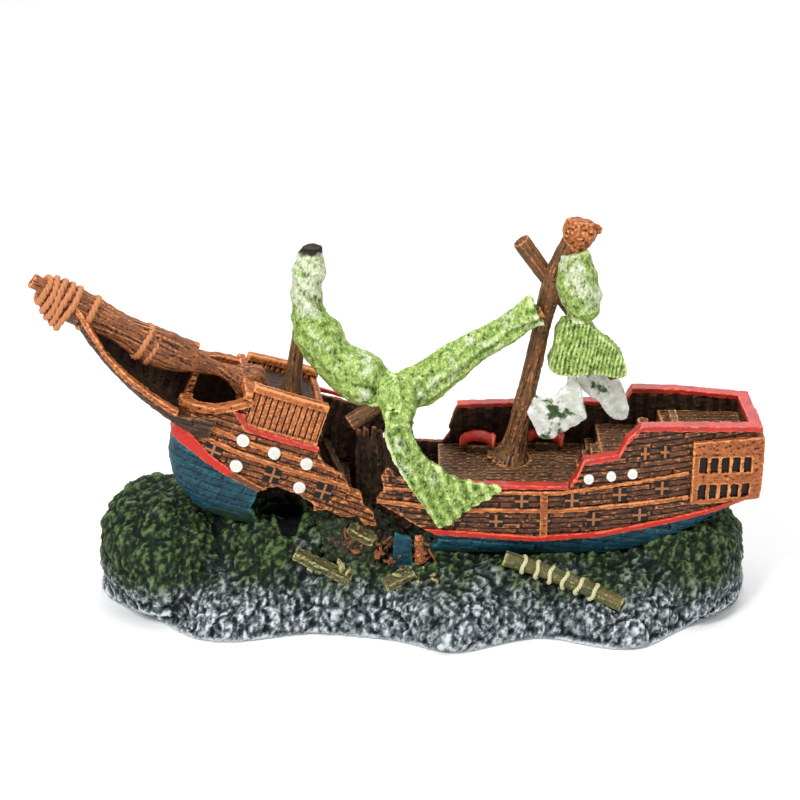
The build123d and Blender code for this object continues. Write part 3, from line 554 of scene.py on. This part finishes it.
def stern_side(co, n):
    """The same for the stern half."""
    outer = np.abs(n[:, 1]) * (np.sign(n[:, 1]) == np.sign(co[:, 1]))
    board = planks(co, 2.3, lambda x: -0.0011 * (x - 45) ** 2, 31)
    torn = step(30, 4, co[:, 0])
    ribs = -0.5 * step(0.3, 0.8, np.abs(((co[:, 0] + 2 * noise(co, 9, 3)) / 5.4) % 1 - 0.5) * 2)
    inner = (np.abs(n[:, 1]) > 0.4) & (outer < 0.1)
    out = board * step(0.25, 0.6, outer) + roughen(co, 0.40, 1.4, 33)
    return out + torn * 0.6 * fbm(co, 2.4, 3, 9) + np.where(inner, ribs + 0.3 * noise(co, 2.5, 4), 0)


def lower_side(to):
    """The painted bottom: wider, shallower planks."""

    def shape(co, n):
        q = to(co)
        seam = planks(q, 3.1, lambda x: 0.0012 * x**2, 41, depth=0.16)
        return 1.4 * seam + roughen(q, 0.34, 2.6, 43) + 0.14 * noise(q, 0.9, 44)

    return shape


def strip_shape(amount=0.28):
    """Rails, strips and beams: a worn surface a little drawn out along x."""

    def shape(co, n):
        return amount * fbm(co, (2.2, 1.2, 1.2), 3, 51) + 0.25 * amount * noise(co, 5, 52)

    return shape


def rubble_shape(co, n):
    """Broken stones and shards."""
    near, _, label = worley(co, (4.2, 4.2, 3.4), 141)
    shard, _, _ = worley(co, (1.5, 1.5, 1.3), 142)
    return (0.6 - near) * 2.2 + 0.5 * label + (0.55 - shard) * 0.8 + 0.5 * fbm(co, 7, 2, 143) - 0.4


def boards_up(pitch=2.3, depth=0.55, amount=0.3):
    """Upright boards, as on the forecastle sides."""

    def shape(co, n):
        q = bow(co)
        side = np.abs((n @ BOW_AXES.T)[:, 1])
        fall = step(0.65, 0.95, np.abs((q[:, 0] / pitch) % 1 - 0.5) * 2)
        cap = step(27.2, 28.2, q[:, 2])
        sill = step(16.0, 15.2, q[:, 2])
        face = side * (1 - cap) * (1 - sill)
        return -depth * fall * face + 0.45 * (cap + sill) * side + amount * fbm(q, 1.4, 3, 61)

    return shape


def deck_shape(to, pitch=2.4, amount=0.34):
    """Deck boards along x, with gaps between them on the upper side."""

    def shape(co, n):
        q = to(co)
        level = (q[:, 1] + 0.4 * noise(q, 12, 3)) / pitch
        gap = step(0.7, 0.98, np.abs(level - np.floor(level) - 0.5) * 2)
        top = step(0.4, 0.8, np.abs(n[:, 2]))
        return -0.35 * gap * top + amount * fbm(q, (1.8, 1.1, 1.2), 3, 71)

    return shape


def bark(points, amount=0.42, seed=81):
    """Long grooves along a spar through those points, mm."""
    start, end = np.array(points[0], float), np.array(points[-1], float)
    along = (end - start) / np.linalg.norm(end - start)

    def shape(co, n):
        t = (co - start) @ along
        side = co - start - t[:, None] * along
        q = side + along * (t / 11.0)[:, None]
        grooves = 0.4 - 1.3 * np.abs(fbm(q, 1.7, 3, seed)) + 0.5 * fbm(q, 3.2, 2, seed + 9)
        knots = np.maximum(0, noise(co, 6.5, seed + 2) - 0.35)
        return amount * (grooves - 0.1) + 0.9 * knots * amount + 0.18 * amount * noise(co, 1.0, seed + 5)

    return shape


def folds(direction, pitch, amount, seed, crackle=0.22):
    """Cast cloth: soft folds across a direction, wrinkles and a pebbled surface."""
    direction = np.array(direction, float) / np.linalg.norm(direction)

    def shape(co, n):
        warp = 2.2 * fbm(co, 14, 2, seed)
        phase = (co @ direction + warp) / pitch
        wave = np.sin(phase * 2 * math.pi)
        near, second, _ = worley(co, (1.25, 1.25, 1.6), seed + 3)
        pebble = step(0.0, 0.35, second - near) - 0.6
        swell = 0.75 * fbm(co, 7.0, 3, seed + 1) + 0.35 * noise(co, 2.4, seed + 2)
        return 0.38 * amount * wave + swell + 0.7 * crackle * pebble

    return shape


def spread(shape, middle, radius, amount):
    """The same cloth, thicker up and down around one place; radius is along x, y and z, mm."""

    def wider(co, n):
        near = step(1.0, 0.2, np.linalg.norm((co - np.asarray(middle)) / np.asarray(radius), axis=1))
        return shape(co, n) + amount * near * np.abs(n[:, 2])

    return wider


def sail_mask(seed, size=6.5, bias=0.0, by_height=None):
    """Where a sail's second colour shows; by_height adds to it between two heights, mm."""

    def mask(co, n):
        value = 0.24 + 0.95 * fbm(co, size, 3, seed) + bias
        if by_height:
            value = value + step(by_height[0], by_height[1], co[:, 2]) * by_height[2]
        return np.clip(value, 0, 1)

    return mask


def cave_mouth(co):
    """1 in the notch of the rock under the hole in the bow half's side, pointed at the bottom, where
    near-black painted shade goes.
    """
    half = 2.0 + 0.85 * np.clip(co[:, 2] - CAVE_FOOT, 0, 12)
    inside = step(half + 1.2, half - 1.2, np.abs(co[:, 0] - CAVE_X + noise(co, 4.5, 31)))
    return inside * step(CAVE_FOOT - 1.5, CAVE_FOOT + 1.5, co[:, 2]) * step(2, -2, co[:, 1])


def between_halves(co):
    """1 on the ground under the break, darkened there as painted shade under the wreckage."""
    away = ((co[:, 0] + 7) / 24) ** 2 + ((co[:, 1] + 13) / 10) ** 2
    return step(1.3, 0.5, away + 0.35 * fbm(co, 9, 2, 32)) * step(20, 25, co[:, 2])


def rock_shape(co, outer):
    """Lumps, knobs and wormy ridges on the outside, almost nothing inside, and the cave's notch."""
    warped = co + 2.2 * np.stack([fbm(co, 8, 2, k) for k in (3, 13, 23)], 1)
    near, _, label = worley(warped, (10.5, 10.5, 12.0), 91)
    lump = (0.60 - near) * 3.0 + 0.5 * label
    mid, _, _ = worley(warped, (4.6, 4.6, 5.6), 92)
    knob = (0.58 - mid) * 1.9
    cell, _, _ = worley(co, (1.8, 1.8, 2.3), 93)
    streak = noise(co, (1.0, 1.0, 3.2), 94) * 0.25
    worm = 0.55 - 1.5 * np.abs(fbm(co, (3.0, 3.0, 4.2), 3, 96))
    grainy = (0.55 - cell) * 0.85 * 0.7 + 1.05 * worm
    foot = step(0.0, 3.0, co[:, 2])
    out = lump + 0.85 * knob + grainy + streak + 0.9 * fbm(co, 16, 2, 95) - 0.9
    return out * foot * np.where(outer, 1.0, 0.08) - 2.2 * cave_mouth(co)


def rock_base():
    """The rock, rough only where a point sees daylight straight out or up."""
    mesh = dense(["rock_base"], 0.85)
    co, normal, _ = arrays(mesh)
    tree = BVHTree.FromPolygons(
        [Vector(v) for v in co], [tuple(f.vertices) for f in mesh.polygons], epsilon=0.0
    )
    outer = np.zeros(len(co), dtype=bool)
    for i in range(len(co)):
        n = normal[i]
        if n[2] < -0.25:
            continue
        side = Vector((n[0], n[1], max(n[2], 0.15) + 0.1)).normalized()
        outer[i] = tree.ray_cast(Vector(co[i] + 0.6 * n), side)[0] is None
    move = rock_shape(co, outer)
    put(mesh, co + normal * move[:, None])
    crust = fbm(co, (11, 11, 20), 3, 97)
    green = step(3, 29, co[:, 2] + 10 * crust) - 0.35 * step(0.25, 0.6, fbm(co, 13, 2, 98))
    attribute(mesh, "mask", np.clip(green, 0, 1))
    # painted shade: near black in the cave's notch, darker on the ground under the break
    attribute(mesh, "stain_and_shade", np.maximum(cave_mouth(co), 0.75 * between_halves(co)))
    return finish_piece("rock", mesh, rock_paint, ["rock_base"])


def pane_bars(to, across, bar=0.42):
    """Marks a cross of glazing bars on each small pane, by the pane's own middle."""

    def mask(co, n):
        q = to(co)[:, [0, 2]]
        left = np.ones(len(q), dtype=bool)
        side = co[:, 1] > 0
        value = np.zeros(len(q))
        while left.any():
            first = np.flatnonzero(left)[0]
            near = left & (side == side[first]) & (np.abs(q - q[first]).max(1) < across)
            middle = (q[near].min(0) + q[near].max(0)) / 2
            here = left & (side == side[first]) & (np.abs(q - middle).max(1) < across * 0.8)
            off = np.abs(q[here] - middle).min(1)
            value[here] = step(bar + 0.25, bar - 0.15, off)
            left &= ~(here | near)
        return value

    return mask


def skin(bm, rings):
    """Faces between rings of points that follow each other, with both ends closed."""
    for one, two in zip(rings, rings[1:]):
        for j in range(len(one)):
            after = (j + 1) % len(one)
            bm.faces.new((one[j], two[j], two[after], one[after]))
    bm.faces.new(rings[0])
    bm.faces.new(rings[-1][::-1])


def built(name, bm, cuts=0):
    """The finished bmesh as a mesh, its faces turned outwards."""
    bmesh.ops.recalc_face_normals(bm, faces=bm.faces)
    if cuts:
        bmesh.ops.subdivide_edges(bm, edges=bm.edges[:], cuts=cuts, use_grid_fill=True)
    mesh = bpy.data.meshes.new(name)
    bm.to_mesh(mesh)
    bm.free()
    return mesh


def rope_turns(name, rings, material, nodes):
    """Laid rope wound round a spar: a ring is its middle, axes u and v, a radius along each and
    the rope's own radius."""
    bm = bmesh.new()
    around = 96
    section = 12
    strands = 3
    lay = 17
    for k, (middle, u, v, wide, tall, thick) in enumerate(rings):
        middle, u, v = (np.asarray(x, float) for x in (middle, u, v))
        normal = np.cross(u, v)
        grid = []
        for i in range(around):
            t = 2 * math.pi * i / around
            out = u * math.cos(t) * tall + v * math.sin(t) * wide
            out = out / np.linalg.norm(out)
            lean = 0.5 * math.sin(t + k) + 0.25 * math.sin(3 * t + 2 * k)
            centre = middle + u * wide * math.cos(t) + v * tall * math.sin(t) + normal * lean
            row = []
            for j in range(section):
                phi = 2 * math.pi * j / section
                r = thick * (1 + 0.17 * math.cos(strands * phi - lay * t))
                spot = centre + out * r * math.cos(phi) + normal * r * math.sin(phi)
                row.append(bm.verts.new(spot * MM))
            grid.append(row)
        for i in range(around):
            for j in range(section):
                a, b = grid[i], grid[(i + 1) % around]
                after = (j + 1) % section
                bm.faces.new((a[j], b[j], b[after], a[after]))
    return finish_piece(name, built(name, bm), material, nodes)


def splinters(name, spots, material, seed, size=(1.5, 6.5)):
    """Broken bits of timber lying on and sticking out of the wreckage. A spot is its x, y and z, how
    far the bits stray from it along each axis, and how many there are."""
    bm = bmesh.new()
    number = 0

    def chance(k):
        return float(lattice(np.int64(number), np.int64(k), np.int64(7), seed)) * 0.5 + 0.5

    for x, y, z, scatter, count in spots:
        for _ in range(count):
            number += 1
            stray = [(chance(k) - 0.5) * 2 * far for k, far in zip((1, 2, 3), scatter)]
            middle = Vector((x, y, z)) + Vector(stray)
            length = size[0] + chance(4) * (size[1] - size[0])
            width = 0.7 + 1.3 * chance(5)
            thick = 0.4 + 0.6 * chance(6)
            turn = Vector((chance(7) - 0.5, chance(8) - 0.5, 0.9 * (chance(9) - 0.35))).normalized()
            rot = turn.to_track_quat("X", "Z").to_matrix()
            rows = []
            for share, narrow in ((-0.5, 0.75), (-0.2, 1.0), (0.25, 0.9), (0.5, 0.25)):
                ring = []
                for a, b in CORNERS:
                    jag = 1 + 0.35 * math.sin(7 * share + 3 * a + 5 * b + number)
                    half_width = width * 0.5 * narrow * jag
                    local = Vector((share * length, a * half_width, b * thick * 0.5 * jag))
                    ring.append(bm.verts.new((middle + rot @ local) * MM))
                rows.append(ring)
            skin(bm, rows)
    mesh = built(name, bm, cuts=1)
    co, _, _ = arrays(mesh)
    put(mesh, co + 0.07 * np.stack([noise(co, 1.1, seed + k) for k in (1, 2, 3)], 1))
    piece = finish_piece(name, mesh, material)
    mesh.polygons.foreach_set("use_smooth", np.zeros(len(mesh.polygons), dtype=bool))
    return piece


def torn_frames(name, count, material):
    """Upright broken boards of the far side that still stand between the two halves."""
    bm = bmesh.new()
    first_x = -15.7
    pitch = 2.7
    foot = 24.0
    mean_top = 64.5
    levels = 9
    half_thick = 0.8
    for k in range(count):
        u = float(noise(np.array([[k * 7.3, 2.0, 5.0]]), 3.0, 161)[0])
        v = float(noise(np.array([[k * 5.1, 9.0, 1.0]]), 3.0, 162)[0])
        middle = first_x + pitch * k + 0.5 * v
        top = mean_top + 4.0 * u - 0.5 * max(0, k - 4) ** 1.6
        rows = []
        for i in range(levels):
            t = i / (levels - 1)
            x = middle + 1.8 * u * t
            y = 6.5 + 9.0 * math.sin(1.25 * t) + 0.7 * v
            z = foot + (top - foot) * t
            half_width = 1.7 * (1 - 0.55 * t**5)
            ring = []
            for a, b in CORNERS:
                spot = Vector((x + a * half_width, y + b * half_thick, z + 1.1 * a * u * t))
                ring.append(bm.verts.new(spot * MM))
            rows.append(ring)
        skin(bm, rows)
    mesh = voxelled(built(name, bm), 0.36)
    co, normal, _ = arrays(mesh)
    move = 0.55 * fbm(co, (1.3, 1.3, 4.5), 3, 163) + 0.3 * noise(co, 1.4, 164)
    put(mesh, co + normal * move[:, None])
    return finish_piece(name, mesh, material)


def gun_shape(co, n):
    """Each gun droops towards its ends and swells at the muzzle."""
    away = co[:, 0] - np.where(co[:, 0] < sum(GUN_X) / 2, *GUN_X)
    shift = np.zeros_like(co)
    shift[:, 2] = 1.4 - 0.05 * away**2
    rings = 0.5 * step(4.6, 5.4, away) + 0.3 * step(-4.4, -5.4, away)
    return 0.25 * fbm(co, 1.6, 3, 51) + rings, shift


def lumps(amount, size, seed):
    """Worn and chipped all over."""

    def shape(co, n):
        return amount * fbm(co, size, 3, seed)

    return shape


def nowhere(co, n):
    """A mask, or stains and painted shade, that leaves the whole piece plain."""
    return np.zeros(len(co))


def inner_shade(to, share, low_to_high=(0.0, 0.5)):
    """Painted shade where a hull's surface looks in towards its middle line."""

    def stain_and_shade(co, n):
        m = n if to is same else n @ BOW_AXES.T
        return share * step(*low_to_high, -m[:, 1] * np.sign(to(co)[:, 1]))

    return stain_and_shade


def below(low, high, wave, seed):
    """1 under the low height, 0 over the high one, mm, and a wavy line between them."""

    def mask(co, n):
        return np.clip(step(high, low, co[:, 2] + wave * noise(co, 9, seed)), 0, 1)

    return mask


# ---------------------------------------------------------------- the rock and the hull
rock_base()

# the inner faces of both hull halves get painted shade, near black
carve("bow_planks", ["bow_planking"], 0.42, bow_side, bow_wood, stain_and_shade=inner_shade(bow, 0.8))
carve("stern_planks", ["stern_planking"], 0.48, stern_side, hull_wood,
      stain_and_shade=inner_shade(same, 0.75))
carve("bow_bottom", ["bow_lower_hull"], 0.6, lower_side(bow), teal_paint,
      mask=below(34, 50, 5, 3), stain_and_shade=inner_shade(bow, 1.0, (0.0, 0.4)))
carve("stern_bottom", ["stern_lower_hull"], 0.6, lower_side(same), teal_paint,
      mask=below(22, 30, 3, 4), stain_and_shade=inner_shade(same, 1.0, (0.0, 0.4)))
carve("bow_red_stripe", ["bow_stripe"], 0.33, strip_shape(), stripe_red,
      mask=lambda co, n: np.clip(step(-30, -16, bow(co)[:, 0]) + 0.3 * noise(co, 5, 3), 0, 1))
carve("stern_red_stripe", ["stern_stripe"], 0.33, strip_shape(), stripe_red,
      mask=lambda co, n: np.clip(0.1 + 0.5 * fbm(co, 8, 2, 7) + step(16, 4, co[:, 0]), 0, 1))
for name, node, voxel, wear, material, slot in (
    ("bow_red_rail", "bow_rail", 0.33, 0.3, red_paint, "red_paint"),
    ("waist_red_rail", "waist_rail", 0.33, 0.3, red_paint, "red_paint"),
    ("quarter_red_rail", "quarter_rail", 0.36, 0.3, red_paint, "red_paint"),
    ("bow_wale_strips", "bow_wales", 0.3, 0.35, orange_wood, "orange_resin"),
    ("stern_wale_strips", "stern_wales", 0.3, 0.35, orange_wood, "orange_resin"),
):
    carve(name, [node], voxel, strip_shape(wear), material)

# ---------------------------------------------------------------- the bow's upper works
carve("forecastle_boards", ["forecastle"], 0.42, boards_up(), orange_wood)
carve("forecastle_planks", ["forecastle_deck"], 0.42, deck_shape(bow), dark_wood)
carve("beakhead_dish", ["beakhead"], 0.42, bow_side, dark_wood)
carve("bow_head_top_rail", ["bow_head_rail"], 0.36, strip_shape(0.45), orange_wood)
carve("rubble_heap", ["hold_rubble"], 0.45, rubble_shape, rubble_paint,
      mask=lambda co, n: np.clip(0.5 + fbm(co, 8, 2, 99), 0, 1))
carve("beakhead_top_rail", ["beakhead_rail"], 0.36, strip_shape(0.45), orange_wood)
carve("cathead", ["cathead_beam"], 0.36, strip_shape(0.4), orange_wood)
carve("hold_timbers", ["hold_beams"], 0.36, strip_shape(0.5), dark_wood)

# ---------------------------------------------------------------- masts and spars
for name, node, voxel, ends, depth, seed, material, slot in (
    ("bowsprit_spar", "bowsprit", 0.4, SPRIT, 0.75, 83, sprit_wood, "brown_resin"),
    ("foremast_spar", "foremast", 0.36, FORE, 0.5, 84, mast_wood, "mast_resin"),
    ("mainmast_spar", "main_mast", 0.4, MAIN, 0.7, 85, mast_wood, "mast_resin"),
    ("main_yard_spar", "main_yard", 0.4, YARD, 0.5, 86, mast_wood, "mast_resin"),
    ("fallen_spar_log", "fallen_spar", 0.4, FALLEN, 0.5, 87, mast_wood, "mast_resin"),
):
    carve(name, [node], voxel, bark(ends, depth, seed), material)
carve("mast_head", ["mast_top"], 0.36, lambda co, n: 0.9 * fbm(co, 3.4, 3, 88) + 0.3 * noise(co, 1, 8),
      orange_wood)

# ---------------------------------------------------------------- the stern's decks and guns
for name, node, voxel in (
    ("main_deck_planks", "main_deck", 0.42),
    ("quarterdeck_planks", "quarterdeck", 0.45),
    ("poop_planks", "poop_deck", 0.45),
):
    carve(name, [node], voxel, deck_shape(same), deck_wood)
carve("ladder_steps", ["deck_ladder"], 0.36, lumps(0.5, 2.2, 73), deck_wood, calm=2)
carve("bitts", ["deck_bitts"], 0.36, lumps(0.7, 2.6, 74), deck_wood, calm=2)
carve("gun_carriages", ["cannon_carriages"], 0.33, strip_shape(0.4), dark_wood)
carve("guns", ["cannon_barrels"], 0.33, gun_shape, red_paint, calm=1)

# ---------------------------------------------------------------- gallery, ports and studs
carve("gallery", ["stern_gallery"], 0.36, strip_shape(0.34), orange_wood)
for name, node, voxel, mask in (
    ("gallery_panes", "gallery_windows", 0.36, nowhere),
    ("bow_port_panes", "bow_ports", 0.25, pane_bars(bow, 7.5)),
    ("stern_port_panes", "stern_ports", 0.25, pane_bars(same, 6.5)),
):
    carve(name, [node], voxel, strip_shape(0.1), black_paint, mask=mask)
for name, node, calm in (("bow_white_studs", "bow_studs", 6), ("stern_white_studs", "stern_studs", 5)):
    carve(name, [node], 0.3, strip_shape(0.2), white_paint, calm=calm)

# ---------------------------------------------------------------- wreckage on the rock
carve("keel_piece", ["keel_fragment"], 0.36, strip_shape(0.4), teal_paint,
      mask=nowhere, stain_and_shade=nowhere)
carve("broken_ribs", ["broken_frames"], 0.33, strip_shape(0.6), orange_wood)
carve("fallen_boards", ["fallen_planks"], 0.36, strip_shape(0.5), straw_wood)
carve("roped_spar", ["rope_spar"], 0.38, bark(ROPED, 0.5, 89), straw_wood)


def spar_ropes():
    """Six turns of rope along the sagging spar that lies on the rock."""
    along = np.array([22, -6.4, -6.5]) / np.linalg.norm([22, -6.4, -6.5])
    upward = np.cross(along, [0, 1, 0]) / np.linalg.norm(np.cross(along, [0, 1, 0]))
    across = np.cross(upward, along)
    turns = []
    for k in range(6):
        share = 0.16 + 0.12 * k
        sag = 3.5 * share**2
        middle = (40 + 44 * share, -25.6 - 9.4 * share - sag, 28.7 - 12.9 * share)
        turns.append((middle, upward, across, 3.0, 3.0, 0.75))
    rope_turns("spar_ropes", turns, rope_paint, ["rope_wraps"])


def sprit_ropes():
    """The lashings round the bowsprit: a thick band near its tip and three single turns."""
    rope = 1.15
    sunk = 0.7
    upright = np.array([0.23, 0, 0.97]) @ BOW_AXES
    sideways = np.array([0, 1.0, 0]) @ BOW_AXES
    turns = []
    for x, drop, tall, wide in (
        (-108.4, 0.4, 5.6, 5.0),
        (-105.8, 0.9, 7.4, 5.8),
        (-103.2, 1.4, 8.4, 6.2),
        (-100.6, 1.8, 9.0, 6.4),
        (-98.0, 2.2, 9.4, 6.6),
        (-90.5, 0, 7.2, 6.0),
        (-68.5, 0, 7.2, 6.0),
        (-64.5, 0, 7.0, 5.9),
    ):
        middle = unbow((x, 0, 38 - 0.246 * (x + 103) - drop))
        turns.append((middle, upright, sideways, tall - sunk, wide - sunk, rope))
    rope_turns("sprit_ropes", turns, lashing, ["bowsprit_lashings"])


spar_ropes()
sprit_ropes()
splinters("broken_bits", [
    (-18, -17, 34, (7, 3, 3), 14),
    (-12, -18, 29, (8, 4, 3), 14),
    (0, -21, 25, (6, 3, 2), 9),
    (9, -21, 28, (4, 2, 4), 8),
], bow_bits, 151)
torn_frames("torn_hull_boards", 8, dark_wood)
splinters("mossy_bits", [
    (-28, -26, 24, (10, 3, 2), 9),
    (2, -27, 21.5, (12, 3, 2), 9),
], straw_wood, 152)


# ---------------------------------------------------------------- sails
def stains(co, n):
    """Dark stains in patches on the green cloth."""
    return step(0.44, 0.66, fbm(co, 3.2, 3, 9)) * 0.75


def fore_sail_stains(co, n):
    """The black wooden tip above the cloth, and the dark cracks of its upper part."""
    tip = step(142.2, 143.4, co[:, 2] + 0.9 * noise(co, 2, 5))
    cracks = step(0.42, 0.60, fbm(co, (1.6, 1.6, 7), 3, 8))
    return tip + 0.8 * cracks * step(100, 112, co[:, 2])


FORE_FOLDS = spread(folds((0.6, 0.2, 0.75), 6.5, 0.8, 101), (-14, -6, 95), (20, 30, 16), 3.6)
for name, node, voxel, shape, mask, stain_and_shade in (
    ("fore_sail_cast", "fore_sail", 0.45, FORE_FOLDS, sail_mask(102, by_height=(116, 134, 0.6)),
     fore_sail_stains),
    ("fallen_sail_cast", "fallen_sail", 0.45, folds((0.5, 0.3, -0.8), 4.0, 0.9, 103),
     sail_mask(104, bias=-0.15), stains),
    ("sail_knot_cast", "sail_knot", 0.45, folds((0.9, 0.2, 0.1), 5, 0.6, 105),
     sail_mask(106, bias=-0.2), stains),
    ("draped_sail_cast", "draped_sail", 0.4, folds((0.9, 0.0, 0.35), 4.5, 1.0, 107),
     sail_mask(108, bias=-0.1), stains),
    ("topsail_cast", "main_topsail", 0.45, folds((0.2, 0.2, 0.9), 7.5, 0.7, 109),
     sail_mask(110, bias=0.3), stains),
    ("mainsail_cast", "main_sail", 0.45, folds((0.98, 0.0, -0.1), 1.5, 0.42, 111),
     sail_mask(112, bias=-0.3), stains),
):
    carve(name, [node], voxel, shape, sail_green, mask=mask, stain_and_shade=stain_and_shade)
carve("torn_sail_a", ["torn_sail_port"], 0.4, folds((0.8, 0.0, 0.6), 5, 0.6, 113), sail_white,
      mask=sail_mask(114))
carve("torn_sail_b", ["torn_sail_starboard"], 0.4, folds((0.9, 0.0, 0.3), 5, 0.6, 115), sail_white,
      mask=sail_mask(116, bias=0.05))

# ---------------------------------------------------------------- the air unit
rubber = painted(
    "bung_rubber", (0.02, 0.02, 0.02), (0.008, 0.008, 0.008), (0.06, 0.06, 0.06), rough=0.6,
)
plastic = painted(
    "nipple_plastic", (0.015, 0.015, 0.017), (0.006, 0.006, 0.007), (0.05, 0.05, 0.055), rough=0.3,
    bump=0.05, shine=0.5,
)
stone = painted(
    "air_stone_grit", (0.20, 0.27, 0.36), (0.05, 0.07, 0.10), (0.45, 0.52, 0.60), rough=0.8,
)
carve("bung", ["air_bung"], 0.3, lambda co, n: 0.03 * noise(co, 1.5, 121), rubber,
      body=AIR)
carve("nipple", ["air_nipple"], 0.25, lambda co, n: 0.01 * noise(co, 1.5, 122), plastic,
      body=AIR)
carve("airstone", ["air_stone"], 0.3, lambda co, n: 0.14 * fbm(co, 0.9, 2, 123), stone,
      body=AIR)

# ---------------------------------------------------------------- stage, light and camera
FLOOR_HALF = 4.0
FLOOR_GAP = 0.0004
LOOKED_AT = Vector((0, 0, 0.0831))
ELEVATION = math.radians(25)
DISTANCE = 0.7

floor_mesh = bpy.data.meshes.new("floor")
bm = bmesh.new()
bmesh.ops.create_grid(bm, x_segments=1, y_segments=1, size=FLOOR_HALF)
bm.to_mesh(floor_mesh)
bm.free()
floor = bpy.data.objects.new("floor", floor_mesh)
floor.location.z = -FLOOR_GAP
bpy.context.collection.objects.link(floor)
floor_paint, floor_tree, floor_shader = graph_of("floor_paint")
feed(floor_tree, floor_shader.inputs["Base Color"],
     mix(floor_tree, grain(floor_tree, 60.0), (0.90, 0.90, 0.90), (0.93, 0.93, 0.93)))
floor_shader.inputs["Roughness"].default_value = 0.9
floor_mesh.materials.append(floor_paint)


def area_light(name, place, size, power):
    """A square white lamp that faces the ornament."""
    data = bpy.data.lights.new(name, "AREA")
    data.shape = "SQUARE"
    data.size = size
    data.energy = power
    lamp = bpy.data.objects.new(name, data)
    lamp.location = place
    lamp.rotation_euler = (Vector((0, 0, 0.07)) - Vector(place)).to_track_quat("-Z", "Y").to_euler()
    bpy.context.collection.objects.link(lamp)


area_light("key", (-0.75, -0.8, 1.15), 0.45, 17.0)
area_light("fill", (1.0, -0.7, 0.6), 0.8, 4.0)
area_light("top", (0.1, 0.25, 1.3), 0.9, 7.0)
area_light("back", (0.3, 1.1, 0.9), 0.8, 5.0)

world = bpy.data.worlds.new("studio")
bpy.context.scene.world = world
world.use_nodes = True
world.node_tree.nodes["Background"].inputs[0].default_value = (1, 1, 1, 1)
world.node_tree.nodes["Background"].inputs[1].default_value = 0.52
bpy.context.scene.view_settings.view_transform = "Standard"

camera_data = bpy.data.cameras.new("camera")
camera_data.lens = 82.5
camera_data.sensor_width = 36.0
camera = bpy.data.objects.new("camera", camera_data)
backward = Vector((0, -math.cos(ELEVATION), math.sin(ELEVATION)))
camera.location = LOOKED_AT + backward * DISTANCE
camera.rotation_euler = (LOOKED_AT - camera.location).to_track_quat("-Z", "Y").to_euler()
bpy.context.collection.objects.link(camera)
bpy.context.scene.camera = camera
